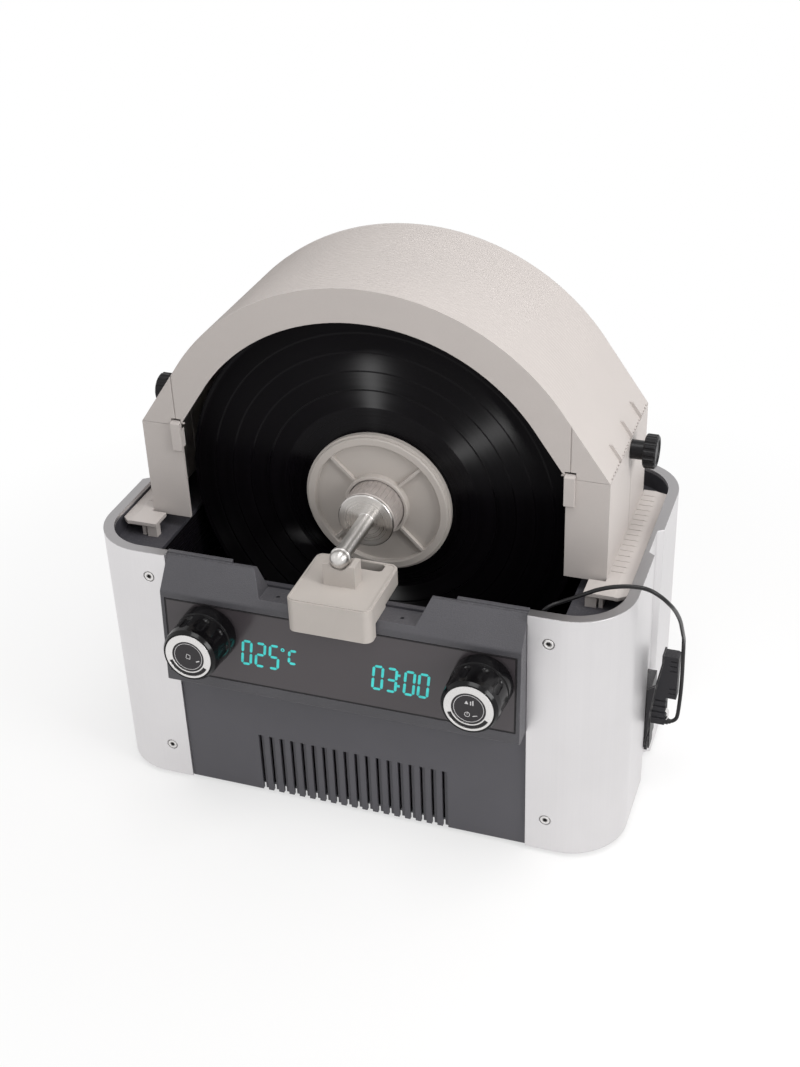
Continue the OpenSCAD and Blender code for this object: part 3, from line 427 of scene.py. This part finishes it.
# Bead-blasted aluminium with a greyer machined rim on top
shellLook = {"colour": "dddbdc", "rimColour": "a19fa0", "edge": "eeedee", "metallic": 1.0,
             "tones": (0.97, 1.02), "driftSize": 0.09, "edgeWidth": 0.0009, "wear": 0.5,
             "mottle": 0.06, "markTone": 0.7, "stretch": (900.0, 900.0, 6.0),
             "roughness": 0.42, "smoother": 0.04, "rougher": 0.05,
             "grain": 0.0005, "depth": 0.00003, "rimRange": (0.2117, 0.2119)}


def shellFinish(name, look):
    material, tree, shader = newFinish(name, look)
    height = put(tree, "SeparateXYZ", {0: put(tree, "TexCoord").outputs["Object"]}).outputs["Z"]
    rim = remap(tree, height, *look["rimRange"])
    blast = useGroup(tree, "mouldedGrain", Size=look["grain"])
    lines = useGroup(tree, "drawnLines", Stretch=look["stretch"])
    edges = useGroup(tree, "wornEdges", Width=look["edgeWidth"])
    drift = useGroup(tree, "toneDrift", Size=look["driftSize"])["Mask"]
    side = shaded(tree, drift, look["colour"], *look["tones"])
    dull = colour(look["colour"], look["markTone"])
    side = laidOver(tree, side, lines["Mask"], look["mottle"], dull)
    tone = blendColours(tree, rim, side, colour(look["rimColour"]))
    tone = laidOver(tree, tone, edges["Mask"], look["wear"], colour(look["edge"]))
    feed(tree, shader.inputs["Base Color"], tone)
    feed(tree, shader.inputs["Roughness"], roughBetween(tree, blast["Mask"], look))
    addBump(tree, shader, blast["Height"], look["depth"], edges["Normal"])
    return material


# Black vinyl: grooves in bands that streak the light along the radius, smooth gaps and run-out
vinylLook = {"colour": "0b090c", "tones": (0.8, 1.3), "gloss": 0.1, "anisotropy": 1.0,
             "roughness": 0.48, "smoother": 0.05, "rougher": 0.05, "smoothShare": 0.4,
             "pitch": 0.0009, "band": 0.011, "depth": 0.00001,
             "dust": 0.2, "dustSize": 0.0008, "dustColour": "8b8984",
             "runOut": (0.0754, 0.076), "leadIn": (0.1472, 0.1466),
             "gaps": [0.0895, 0.1042, 0.1188, 0.1336], "gapRange": (0.00036, 0.0009)}


# How near a radius lies to one of the smooth gaps between tracks
def gapMask(tree, radius, look):
    nearest = None
    for gap in look["gaps"]:
        away = reckon(tree, "ABSOLUTE", reckon(tree, "SUBTRACT", radius, gap))
        nearest = away if nearest is None else reckon(tree, "MINIMUM", nearest, away)
    return remap(tree, nearest, *look["gapRange"])


def vinylFinish(name, look):
    material, tree, shader = newFinish(name, look)
    rings = useGroup(tree, "turnedRings", Pitch=look["pitch"], Band=look["band"])
    radius = rings["Radius"]
    grooved = reckon(tree, "MULTIPLY", remap(tree, radius, *look["runOut"]),
                     remap(tree, radius, *look["leadIn"]))
    grooved = reckon(tree, "MULTIPLY", grooved, gapMask(tree, radius, look))
    tone = shaded(tree, rings["Mask"], look["colour"], *look["tones"])
    dust = useGroup(tree, "settledDust", Size=look["dustSize"])["Mask"]
    tone = laidOver(tree, tone, dust, look["dust"], colour(look["dustColour"]))
    feed(tree, shader.inputs["Base Color"], tone)
    drawOutGloss(tree, shader, look["anisotropy"])
    smooth = remap(tree, grooved, 0.0, 1.0, look["smoothShare"], 1.0)
    rough = reckon(tree, "MULTIPLY", roughBetween(tree, rings["Mask"], look), smooth)
    feed(tree, shader.inputs["Roughness"], rough)
    addBump(tree, shader, reckon(tree, "MULTIPLY", rings["Height"], grooved), look["depth"])
    return material


# Lit figures behind the smoked window
digitLook = {"colour": "3fc0bd", "tones": (0.8, 1.1), "driftSize": 0.006, "strength": 0.42,
             "roughness": 0.4}


def litFinish(name, look):
    material, tree, shader = newFinish(name, look)
    drift = useGroup(tree, "toneDrift", Size=look["driftSize"])["Mask"]
    tone = shaded(tree, drift, look["colour"], *look["tones"])
    feed(tree, shader.inputs["Base Color"], tone)
    feed(tree, shader.inputs["Emission Color"], tone)
    shader.inputs["Emission Strength"].default_value = look["strength"]
    shader.inputs["Roughness"].default_value = look["roughness"]
    return material


# The board: green sheet, finned sink, transformer and capacitors by their place
boardLook = {"sheet": "1f5c38", "sheetLight": "256b43", "tracks": "8c7a3a", "trackScale": 160.0,
             "trackWidth": 0.06, "windings": "b98a2e", "capacitors": "23242c", "sink": "9a9da1",
             "roughness": (0.4, 0.55), "grain": 0.0012, "depth": 0.00005,
             "offSheet": (-0.1856, -0.1852), "sinkSide": (0.0045, 0.0035),
             "capacitorTop": (0.085, 0.087)}


def boardFinish(name, look):
    material, tree, shader = newFinish(name, look)
    coords = put(tree, "TexCoord").outputs["Object"]
    axes = put(tree, "SeparateXYZ", {0: coords}).outputs
    grain = useGroup(tree, "mouldedGrain", Size=look["grain"])
    sheet = put(tree, "TexBrick", {
        "Vector": coords, "Color1": colour(look["sheet"]), "Color2": colour(look["sheetLight"]),
        "Mortar": colour(look["tracks"]), "Scale": look["trackScale"],
        "Mortar Size": look["trackWidth"]}).outputs[0]
    parts = blendColours(tree, remap(tree, axes["Z"], *look["capacitorTop"]),
                         colour(look["windings"]), colour(look["capacitors"]))
    parts = blendColours(tree, remap(tree, axes["Y"], *look["sinkSide"]), parts,
                         colour(look["sink"]))
    tone = blendColours(tree, remap(tree, axes["X"], *look["offSheet"]), sheet, parts)
    feed(tree, shader.inputs["Base Color"], tone)
    feed(tree, shader.inputs["Roughness"],
         remap(tree, grain["Mask"], 0.0, 1.0, *look["roughness"]))
    addBump(tree, shader, grain["Height"], look["depth"])
    return material


# Moulded plastic, paint, rubber and print
panelLook = {"colour": "56555a", "edge": "77767c", "roughness": 0.46, "grain": 0.0006,
             "depth": 0.00004, "wear": 0.25, "drift": 0.05}
fasciaLook = {"colour": "525155", "edge": "8b8a8f", "roughness": 0.4, "grain": 0.0009,
              "depth": 0.00018, "wear": 0.45, "drift": 0.05, "mottle": 0.26, "edgeWidth": 0.0008}
windowLook = {"colour": "474245", "edge": "5d585b", "roughness": 0.2, "grain": 0.0011,
              "depth": 0.000004, "wear": 0.1, "drift": 0.03, "mottle": 0.05, "gloss": 0.5,
              "dust": 0.02, "driftSize": 0.09}
coverLook = {"colour": "bfb8b4", "edge": "ded7d2", "roughness": 0.48, "grain": 0.0012,
             "depth": 0.00004, "wear": 0.45, "drift": 0.025, "mottle": 0.05, "dust": 0.06,
             "driftSize": 0.07}
ivoryLook = dict(coverLook, colour="beb7b1", roughness=0.4, grain=0.0009, driftSize=0.03)
deckLook = {"colour": "444348", "edge": "69686d", "roughness": 0.4, "grain": 0.0008,
            "depth": 0.00006, "wear": 0.25, "mottle": 0.15, "dust": 0.1}
housingLook = dict(deckLook, colour="505055")
knobLook = {"colour": "09080a", "edge": "242225", "roughness": 0.16, "grain": 0.0016,
            "depth": 0.000012, "wear": 0.2, "gloss": 0.22, "dust": 0.03, "edgeWidth": 0.0004}
thumbLook = dict(knobLook, colour="151416", roughness=0.3, edge="3b393c")
capLook = {"colour": "2b282b", "edge": "565256", "roughness": 0.28, "grain": 0.0006,
           "depth": 0.00001, "dust": 0.03}
rubberLook = {"colour": "232325", "edge": "3c3c3f", "roughness": 0.7, "grain": 0.0007,
              "depth": 0.00006, "wear": 0.2, "gloss": 0.25}
socketLook = {"colour": "19191b", "edge": "38383b", "roughness": 0.38, "grain": 0.0005,
              "depth": 0.00003}
bracketLook = {"colour": "1f1e21", "edge": "b3b1b0", "roughness": 0.4, "grain": 0.0006,
               "depth": 0.00004, "wear": 0.55, "edgeWidth": 0.0006}
sensorLook = {"colour": "1d1c20", "edge": "545257", "roughness": 0.46, "grain": 0.0005,
              "depth": 0.00005}
leadLook = {"colour": "121113", "edge": "2a292b", "roughness": 0.3, "grain": 0.0009,
            "depth": 0.00002, "wear": 0.0, "dust": 0.05}
printLook = {"colour": "dcdadb", "edge": "f0eff0", "roughness": 0.5, "grain": 0.0004,
             "depth": 0.000005, "dust": 0.0, "wear": 0.1}
darkPrintLook = dict(printLook, colour="1b191b", edge="2a282a")

# Drawn and turned surfaces
# The tank: drawn steel, its near-black colour painted shade for the dark of its deep inside
bathLook = {"colour": "151316", "edge": "3a383c", "roughness": 0.26, "gloss": 0.3, "wear": 0.3,
            "stretch": (700.0, 8.0, 700.0), "depth": 0.00002}
plateLook = {"colour": "8e9093", "edge": "b5b7b9", "metallic": 1.0, "roughness": 0.45,
             "stretch": (12.0, 900.0, 900.0), "depth": 0.00002}
castLook = {"colour": "a9acb0", "edge": "c9cbce", "metallic": 1.0, "roughness": 0.42,
            "stretch": (400.0, 400.0, 300.0), "depth": 0.00004}
screwLook = {"colour": "8d8a88", "edge": "c4c2c0", "metallic": 1.0, "roughness": 0.34,
             "stretch": (900.0, 60.0, 900.0), "depth": 0.00002}
ringLook = {"colour": "dedcdb", "edge": "f2f1f0", "metallic": 1.0, "roughness": 0.3,
            "stretch": (900.0, 900.0, 900.0), "depth": 0.00001, "mottle": 0.05}
shaftLook = {"colour": "d2cfcc", "edge": "e6e4e2", "metallic": 1.0, "roughness": 0.3,
             "pitch": 0.0007, "depth": 0.000008, "smoother": 0.06}
steelLook = dict(shaftLook, pitch=0.0005, anisotropy=0.9)
collarLook = {"colour": "bdb5b1", "edge": "dddbd8", "metallic": 0.45, "roughness": 0.42,
              "pitch": 0.0007, "depth": 0.00003, "mottle": 0.3, "driftSize": 0.006,
              "drift": 0.12}

finishes = {
    "shell": shellFinish("blastedShell", shellLook),
    "panel": moulded("slatePanel", panelLook),
    "fascia": moulded("grainedFascia", fasciaLook),
    "window": moulded("smokedWindow", windowLook),
    "cover": moulded("coverPlastic", coverLook),
    "ivory": moulded("ivoryPlastic", ivoryLook),
    "deck": moulded("deckPlastic", deckLook),
    "housing": moulded("housingPlastic", housingLook),
    "knob": moulded("knobBlack", knobLook),
    "thumb": moulded("thumbKnobBlack", thumbLook),
    "cap": moulded("knobFace", capLook),
    "rubber": moulded("footRubber", rubberLook),
    "socket": moulded("socketBlack", socketLook),
    "bracket": moulded("bracketPaint", bracketLook),
    "sensor": moulded("sensorGrey", sensorLook),
    "lead": moulded("leadJacket", leadLook),
    "print": moulded("whitePrint", printLook),
    "darkPrint": moulded("darkPrint", darkPrintLook),
    "bath": bareMetal("tankPaintedShade", bathLook),
    "plate": bareMetal("zincPlate", plateLook),
    "cast": bareMetal("castMetal", castLook),
    "screw": bareMetal("screwSteel", screwLook),
    "ring": bareMetal("ringSilver", ringLook),
    "shaft": bareMetal("groundShaft", shaftLook),
    "steel": bareMetal("turnedSteel", steelLook),
    "collar": bareMetal("collarMetal", collarLook),
    "vinyl": vinylFinish("groovedVinyl", vinylLook),
    "board": boardFinish("generatorBoard", boardLook),
    "digits": litFinish("litFigures", digitLook),
}

wearers = {
    "shell": ["left_shell", "right_shell"],
    "panel": ["front_panel", "rear_panel"],
    "plate": ["base_plate"],
    "rubber": ["foot_1", "foot_2", "foot_3", "foot_4", "foot_5"],
    "screw": ["shell_screws"],
    "deck": ["deck"],
    "bath": ["tank"],
    "cast": ["transducer_1", "transducer_2", "transducer_3", "drive_motor", "left_encoder",
             "right_encoder"],
    "board": ["generator_board"],
    "fascia": ["control_fascia"],
    "window": ["display_window"],
    "steel": ["spindle", "clamp_rod"],
    "shaft": ["left_shaft", "right_shaft"],
    "knob": ["left_knob", "right_knob"],
    "ring": ["left_ring", "right_ring"],
    "cap": ["left_cap", "right_cap"],
    "socket": ["power_inlet", "power_rocker", "lead_probe"],
    "housing": ["drive_housing"],
    "vinyl": ["record_1", "record_2", "record_3", "record_4"],
    "ivory": ["spacer_1", "spacer_2", "spacer_3", "front_protector", "rear_protector",
              "spindle_rest"],
    "collar": ["clamp_collar"],
    "cover": ["cover_hood", "left_leg", "right_leg", "left_tray", "right_tray", "rear_screen",
              "left_clip", "right_clip"],
    "thumb": ["left_thumb_knob", "right_thumb_knob"],
    "bracket": ["side_bracket"],
    "sensor": ["side_connector"],
}


def dressNodes():
    for finish, names in wearers.items():
        for name in names:
            for holder in nodes[name].material_slots:
                holder.material = finishes[finish]


dressNodes()
print("frame dressed")

# The lead: out of the side unit, over the rim and down into the probe
lead = {
    "diameter": 0.003,
    # how far each sleeve stands out from the lead, and how far along it
    "sleeve": [(-0.0002, 0.0), (0.0012, 0.0), (0.0012, 0.0012), (0.0006, 0.0016),
               (0.0002, 0.0034), (-0.0002, 0.0036)],
    # in millimetres, as in the CAD source
    "route": [
        (219.6, -12, 61), (221, -12, 61), (223.5, -11.9, 61.5), (225.6, -11.6, 62.9),
        (227, -11.2, 65), (227.5, -10.9, 67.5), (227.9, -10.7, 72), (228.3, -10.6, 80),
        (228.6, -10.6, 88), (228.8, -11, 98), (229, -13, 110), (229, -15, 124),
        (229, -17, 138), (229.4, -22, 147), (229.8, -30, 156), (230, -40, 168.5),
        (230, -50, 181), (229.2, -59, 192), (228, -67.4, 201.6), (225.5, -75.8, 211.4),
        (219.5, -80.5, 220), (211.5, -82.8, 225.4), (203.6, -83.4, 226.4), (191, -84.6, 225.2),
        (178.5, -86.6, 221.8), (170, -87.8, 217.6), (160, -89.8, 212.8), (153, -91.4, 209.6),
        (148.2, -94, 208.2), (144.7, -96.3, 206.3), (142.6, -97.6, 203.8), (142, -98, 200.8),
        (142, -98, 198)],
}


def makeSleeve(name, end, towards):
    radius = lead["diameter"]/2
    profile = [(radius + wider, along) for wider, along in lead["sleeve"]]
    return turned(name, profile, end, towards - end, "machine", "lead", finishes["lead"], steps=32)


def makeLead():
    route = [Vector(p)*mm for p in lead["route"]]
    curve = bpy.data.curves.new("lead_cord", "CURVE")
    curve.dimensions = "3D"
    curve.resolution_u = 6
    curve.bevel_depth = lead["diameter"]/2
    curve.bevel_resolution = 4
    curve.use_fill_caps = True
    spline = curve.splines.new("BEZIER")
    spline.bezier_points.add(len(route) - 1)
    for knot, point in zip(spline.bezier_points, route):
        knot.co = point
        knot.handle_left_type = knot.handle_right_type = "AUTO"
    curve.materials.append(finishes["lead"])
    cord = bpy.data.objects.new("lead_cord", curve)
    bpy.context.scene.collection.objects.link(cord)
    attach(cord, "machine")
    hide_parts("lead")
    lower = makeSleeve("lead_sleeve_lower", route[0], route[1])
    upper = makeSleeve("lead_sleeve_upper", route[-1], route[-2])


makeLead()
print("lead laid")

# Front face of the fascia, leaning below its rounded ridge, and the window set in it
face = {"ridge": (-0.1256, 0.188), "radius": 0.004, "lean": 3.3}
window = {"width": 0.266, "height": 0.062, "down": 0.004, "line": 0.0009, "proud": 0.00008}


# A place on that face: across, up from the ridge, and out of it
def onFace(u, v, out):
    lean, (ridgeY, ridgeZ) = math.radians(face["lean"]), face["ridge"]
    y = -(face["radius"] + out)
    return (u, ridgeY + y*math.cos(lean) + v*math.sin(lean),
            ridgeZ - y*math.sin(lean) + v*math.cos(lean))


figures = {
    "stroke": 0.0020, "gap": 0.0004, "slant": 0.1, "proud": 0.00012,
    # figure, left edge, down to its foot, width, height
    "shown": [("0", -0.0750, 0.0496, 0.0086, 0.0215), ("2", -0.0643, 0.0496, 0.0086, 0.0215),
              ("5", -0.0536, 0.0496, 0.0086, 0.0215), ("C", -0.0378, 0.0424, 0.0078, 0.0128),
              ("0", 0.0262, 0.0506, 0.0088, 0.0212), ("3", 0.0366, 0.0506, 0.0088, 0.0212),
              ("0", 0.0500, 0.0506, 0.0088, 0.0212), ("0", 0.0604, 0.0506, 0.0088, 0.0212)],
    # the middle of each dot, across and down, and the degree sign's radii
    "degree": (-0.0410, 0.0311), "degreeRadii": (0.000675, 0.0015),
    "colon": [(0.0478, 0.0350), (0.0471, 0.0440)],
}
segmentsOf = {"0": "abcdef", "2": "abged", "3": "abgcd", "5": "afgcd", "C": "afed"}


def segmentOutline(letter, width, height):
    half, gap = figures["stroke"]/2, figures["gap"]
    if letter in "agd":
        y = {"a": height - half, "g": height/2, "d": half}[letter]
        first, last = half + gap, width - half - gap
        return [(first, y), (first + half, y - half), (last - half, y - half), (last, y),
                (last - half, y + half), (first + half, y + half)]
    x = width - half if letter in "bc" else half
    low, high = (height/2, height - half) if letter in "bf" else (half, height/2)
    first, last = low + gap, high - gap
    return [(x, first), (x + half, first + half), (x + half, last - half), (x, last),
            (x - half, last - half), (x - half, first + half)]


def makeFigures():
    outlines, slant = [], figures["slant"]
    for mark, left, foot, width, height in figures["shown"]:
        for letter in segmentsOf[mark]:
            outlines.append([(left + u + v*slant, v - foot)
                             for u, v in segmentOutline(letter, width, height)])
    x, down = figures["degree"]
    outlines += ringOutlines(*figures["degreeRadii"], x, -down, 8)
    half = figures["stroke"]/2
    for x, down in figures["colon"]:
        over = x + 2*half*slant
        outlines.append([(x - half, -half - down), (x + half, -half - down),
                         (over + half, half - down), (over - half, half - down)])
    raised("display_figures", outlines, onFace, 0.0, figures["proud"], "machine", "window",
           finishes["digits"])


def makeWindowEdge():
    x, top, line = window["width"]/2, -window["down"], window["line"]
    low = top - window["height"]
    outlines = [barOutline(-x, top - line, x, top), barOutline(-x, low, x, low + line),
                barOutline(-x, low + line, -x + line, top - line),
                barOutline(x - line, low + line, x, top - line)]
    raised("window_edge", outlines, onFace, 0.0, window["proud"], "machine", "window",
           finishes["darkPrint"])


makeFigures()
makeWindowEdge()
print("display made")

# Printed on each knob: a fine circle and plain signs on its cap, a dark arc on its ring
knobPrint = {
    "down": 0.0255, "left": -0.098, "right": 0.110,
    "cap": (0.03635, 0.03663), "ring": (0.0359, 0.0363),
    "circle": (0.0104, 0.0108), "arc": (0.0133, 0.0159, 201, 329),
}
knobSigns = {
    "left": [[(-0.0020, -0.0012), (-0.0016, -0.0012), (-0.0008, 0.0022), (-0.0012, 0.0022)],
             [(-0.0012, 0.0022), (-0.0010, 0.0018), (0.0016, 0.0008), (0.0018, 0.0012)],
             [(0.0014, 0.0010), (0.0018, 0.0012), (0.0014, -0.0022), (0.0010, -0.0022)],
             [(-0.0020, -0.0012), (-0.0017, -0.0016), (0.0010, -0.0022), (0.0012, -0.0018)],
             [(0.0058, -0.0030), (0.0062, -0.0038), (0.0088, -0.0026), (0.0084, -0.0018)]],
    "right": [[(-0.0030, 0.0036), (-0.0002, 0.0036), (-0.0016, 0.0062)],
              barOutline(0.0010, 0.0030, 0.0018, 0.0060),
              barOutline(0.0026, 0.0030, 0.0034, 0.0068),
              *ringOutlines(0.0016, 0.0020, -0.0010, -0.0048, 12),
              barOutline(-0.0012, -0.0048, -0.0008, -0.0035),
              [(0.0030, -0.0060), (0.0062, -0.0050), (0.0060, -0.0044), (0.0028, -0.0054)]],
}


def printKnob(side):
    def place(u, v, out):
        return onFace(knobPrint[side] + u, v - knobPrint["down"], out)
    body = side + "_knob"
    outlines = ringOutlines(*knobPrint["circle"], 0, 0, 32) + knobSigns[side]
    raised(body + "_print", outlines, place, *knobPrint["cap"], body, "cap", finishes["print"])
    raised(body + "_arc", [arcOutline(*knobPrint["arc"], 36)], place, *knobPrint["ring"], body,
           "ring", finishes["darkPrint"])


for side in ("left", "right"):
    printKnob(side)
print("knob faces printed")

# Fine ribs round the top of the cover
arch = {"centre": 0.233, "radius": 0.175, "front": -0.053, "depth": 0.127, "inset": 0.003,
        "pitch": 0.0034, "width": 0.0011, "from": 35.5, "to": 144.5, "sunk": 0.0003,
        "proudRight": 0.00008, "proudLeft": 0.00045}


def makeArchRibs():
    count = int((arch["depth"] - 2*arch["inset"])/arch["pitch"])
    half, foot = arch["width"]/2, arch["radius"] - arch["sunk"]
    points, faces, steps = [], [], 72
    for i in range(count + 1):
        y = arch["front"] + arch["inset"] + i*arch["pitch"]
        start = len(points)
        for k in range(steps + 1):
            a = math.radians(arch["from"] + (arch["to"] - arch["from"])*k/steps)
            proud = arch["proudRight"] + (arch["proudLeft"] - arch["proudRight"])*k/steps
            for dy, r in ((-half, foot), (0, arch["radius"] + proud), (half, foot)):
                points.append((r*math.cos(a), y + dy, arch["centre"] + r*math.sin(a)))
        for k in range(steps):
            p = start + 3*k
            faces += [(p, p + 1, p + 4, p + 3), (p + 1, p + 2, p + 5, p + 4),
                      (p + 2, p, p + 3, p + 5)]
        end = start + 3*steps
        faces += [(start, start + 2, start + 1), (end, end + 1, end + 2)]
    addPiece("arch_ribs", points, faces, "hood", "cover", finishes["cover"])


makeArchRibs()
print("cover ribs made")

# Socket screws: a rolled bright rim on each head, and low in each socket a dark plate of painted
# shade
screws = {"across": 0.1515, "front": 0.1165, "heights": (0.0325, 0.191), "headAt": 0.0002,
          "floorAt": 0.0012, "floorRange": (-0.0002, 0.00008), "rim": 0.0038, "well": 0.0018,
          "lift": 0.0004, "turn": 15}


def makeScrewFaces():
    rimPoints, rimFaces, shadePoints, shadeFaces = [], [], [], []
    steps, rows, corners = 32, 6, 6
    middle, thick = (screws["rim"] + screws["well"])/2, (screws["rim"] - screws["well"])/2
    places = [(side*screws["across"], out, z)
              for side in (-1, 1) for out in (-1, 1) for z in screws["heights"]]
    for x, out, z in places:
        head = out*(screws["front"] - screws["headAt"])
        floor = out*(screws["front"] - screws["floorAt"])
        start = len(rimPoints)
        for k in range(steps):
            a = 2*math.pi*k/steps
            for i in range(rows):
                bend = math.pi*i/(rows - 1)
                r, lift = middle + thick*math.cos(bend), screws["lift"]*math.sin(bend)
                rimPoints.append((x + r*math.cos(a), head + out*lift, z + r*math.sin(a)))
        for k in range(steps):
            here, onward = start + k*rows, start + (k + 1) % steps*rows
            for i in range(rows):
                j = (i + 1) % rows
                rimFaces.append((here + i, here + j, onward + j, onward + i))
        # The dark hex plate: painted shade for the dark of the deep socket
        start = len(shadePoints)
        for rise in screws["floorRange"]:
            for k in range(corners):
                a = math.radians(360*k/corners + screws["turn"])
                shadePoints.append((x + screws["well"]*math.cos(a), floor + out*rise,
                                   z + screws["well"]*math.sin(a)))
        top = start + corners
        shadeFaces += [tuple(range(start, top)), tuple(range(top, top + corners))]
        for k in range(corners):
            j = (k + 1) % corners
            shadeFaces.append((start + k, start + j, top + j, top + k))
    addPiece("screw_rims", rimPoints, rimFaces, "machine", "screw", finishes["ring"], smooth=True)
    # Painted shade: dark plates in the screw sockets
    addPiece("screw_socket_shade", shadePoints, shadeFaces, "machine", "screw", finishes["socket"])


makeScrewFaces()
print("screw faces made")

# A small bright clip on the outer side of the sensor box
clip = {"x": 0.2184, "y": -0.0135, "z": 0.0667, "reach": 0.0026, "half": 0.0046, "wall": 0.0008,
        "depth": 0.0042}


def makeSideClip():
    def place(u, v, out):
        return (clip["x"] + u, clip["y"] + out, clip["z"] + v)
    steps = 16
    angles = [math.radians(-90 + 180*i/steps) for i in range(steps + 1)]
    reach, half, wall = clip["reach"], clip["half"], clip["wall"]
    outer = [(reach*math.cos(a), half*math.sin(a)) for a in angles]
    inner = [((reach - wall)*math.cos(a), (half - wall)*math.sin(a)) for a in reversed(angles)]
    raised("side_clip", [outer + inner], place, 0.0, clip["depth"], "machine", "screw",
           finishes["ring"])


makeSideClip()
print("side clip made")

# Light ring on the end of each thumb knob
thumb = {"x": 0.177, "y": 0.0155, "z": 0.277, "end": 0.0190,
         "ring": [(0.0093, -0.0006), (0.0108, -0.0006), (0.0108, 0.0001), (0.0093, 0.0001)]}


def makeThumbRing(side, sign):
    foot = (sign*(thumb["x"] + thumb["end"]), thumb["y"], thumb["z"])
    turned(side + "_thumb_ring", thumb["ring"], foot, (sign, 0, 0), side + "_thumb_knob", "knob",
           finishes["sensor"])


makeThumbRing("left", -1)
makeThumbRing("right", 1)
print("thumb rings made")

# Marks on the rocker, whose face dips to its middle: a bar for on, a ring for off
rocker = {"x": -0.076, "y": 0.1168, "z": 0.048, "half": 0.0088, "dip": 0.0017,
          "bar": (-0.0003, 0.0030, 0.0003, 0.0062), "ring": (0.0012, 0.0017, 0, -0.0046),
          "range": (-0.0003, 0.0001)}


def markRocker():
    def place(u, v, out):
        tilt = rocker["dip"]*abs(v)/rocker["half"]
        return (rocker["x"] + u, rocker["y"] + tilt + out, rocker["z"] + v)
    outlines = [barOutline(*rocker["bar"])] + ringOutlines(*rocker["ring"], 10)
    raised("rocker_marks", outlines, place, *rocker["range"], "power_rocker", "socket",
           finishes["print"])


markRocker()
print("rocker marked")

# Studio
studio = {
    "floor": "f4f3f2", "floorTones": (0.99, 1.0), "floorDrift": 0.8, "floorHalf": 9.0,
    "floorRoughness": 0.9,
    # the floor turns white for the camera between these distances from the middle
    "clearRange": (0.22, 0.62), "clearLeast": 0.6,
    # level of the world on the object itself
    "plain": 0.56,
    # name, place, aim, size, strength in watts
    "lamps": [("topBox", (0.25, -0.25, 1.9), (0.0, 0.0, 0.1), (1.1, 0.8), 13.0),
              ("rightBox", (1.25, -0.45, 0.8), (0.1, 0.0, 0.15), (0.5, 0.7), 9.5),
              ("leftBox", (-1.3, -1.3, 1.0), (0.0, 0.0, 0.15), (0.6, 0.9), 1.0)],
    # small lamps for the streak on the grooves alone
    "streakLamps": [("streakTop", (-0.6, -0.9, 1.6), (0.0, -0.04, 0.25), (0.28, 0.28), 115.0),
                    ("streakRight", (1.3, -1.2, 0.75), (0.0, -0.04, 0.25), (0.2, 0.2), 80.0)],
}
white = (1, 1, 1, 1)


# Rays that see the backdrop: the camera's own, and those off metal or through glass
def seenRays(tree):
    rays = put(tree, "LightPath").outputs
    seen = reckon(tree, "MAXIMUM", rays["Is Camera Ray"], rays["Is Glossy Ray"])
    return reckon(tree, "MAXIMUM", seen, rays["Is Transmission Ray"])


def makeFloor():
    size = studio["floorHalf"]
    corners = [(x, y, 0) for x, y in barOutline(-size, -size, size, size)]
    mesh = bpy.data.meshes.new("floor")
    mesh.from_pydata(corners, [], [(0, 1, 2, 3)])
    floor = bpy.data.objects.new("floor", mesh)
    bpy.context.scene.collection.objects.link(floor)
    material, tree, shader = newFinish("paleFloor", {"gloss": 0.0})
    cloud = useGroup(tree, "toneDrift", Size=studio["floorDrift"])["Mask"]
    tone = shaded(tree, cloud, studio["floor"], *studio["floorTones"])
    feed(tree, shader.inputs["Base Color"], tone)
    shader.inputs["Roughness"].default_value = studio["floorRoughness"]
    place = put(tree, "TexCoord").outputs["Object"]
    away = put(tree, "VectorMath", {0: place}, operation="LENGTH").outputs["Value"]
    clear = remap(tree, away, *studio["clearRange"], studio["clearLeast"], 1.0)
    glow = put(tree, "Emission", {"Color": white, "Strength": 1.0})
    surface = shader.outputs[0].links[0].to_socket
    mix = put(tree, "MixShader", {0: reckon(tree, "MULTIPLY", clear, seenRays(tree)),
                                  1: shader.outputs[0], 2: glow.outputs[0]})
    tree.links.new(mix.outputs[0], surface)
    mesh.materials.append(material)


def addLamp(name, place, aim, size, strength):
    lamp = bpy.data.lights.new(name, "AREA")
    lamp.shape = "RECTANGLE"
    lamp.size, lamp.size_y = size
    lamp.energy = strength
    holder = bpy.data.objects.new(name, lamp)
    bpy.context.scene.collection.objects.link(holder)
    holder.location = place
    holder.rotation_euler = (Vector(place) - Vector(aim)).to_track_quat("Z", "Y").to_euler()
    return holder


def makeLamps():
    for lamp in studio["lamps"]:
        addLamp(*lamp)
    records = bpy.data.collections.new("streakedRecords")
    for name in wearers["vinyl"]:
        records.objects.link(nodes[name])
    for lamp in studio["streakLamps"]:
        holder = addLamp(*lamp)
        holder.visible_diffuse = False
        holder.light_linking.receiver_collection = records


# White for the camera, for metal and for glass; a plain level on the object itself
def makeWorld():
    world = bpy.data.worlds.new("studio")
    world.use_nodes = True
    tree = world.node_tree
    tree.nodes.clear()
    plain = put(tree, "Background", {"Color": white, "Strength": studio["plain"]})
    clear = put(tree, "Background", {"Color": white, "Strength": 1.0})
    mix = put(tree, "MixShader", {0: seenRays(tree), 1: plain.outputs[0], 2: clear.outputs[0]})
    tree.links.new(mix.outputs[0], put(tree, "OutputWorld").inputs["Surface"])
    bpy.context.scene.world = world


makeFloor()
makeLamps()
makeWorld()
bpy.context.scene.view_settings.view_transform = "Standard"
print("studio lit")
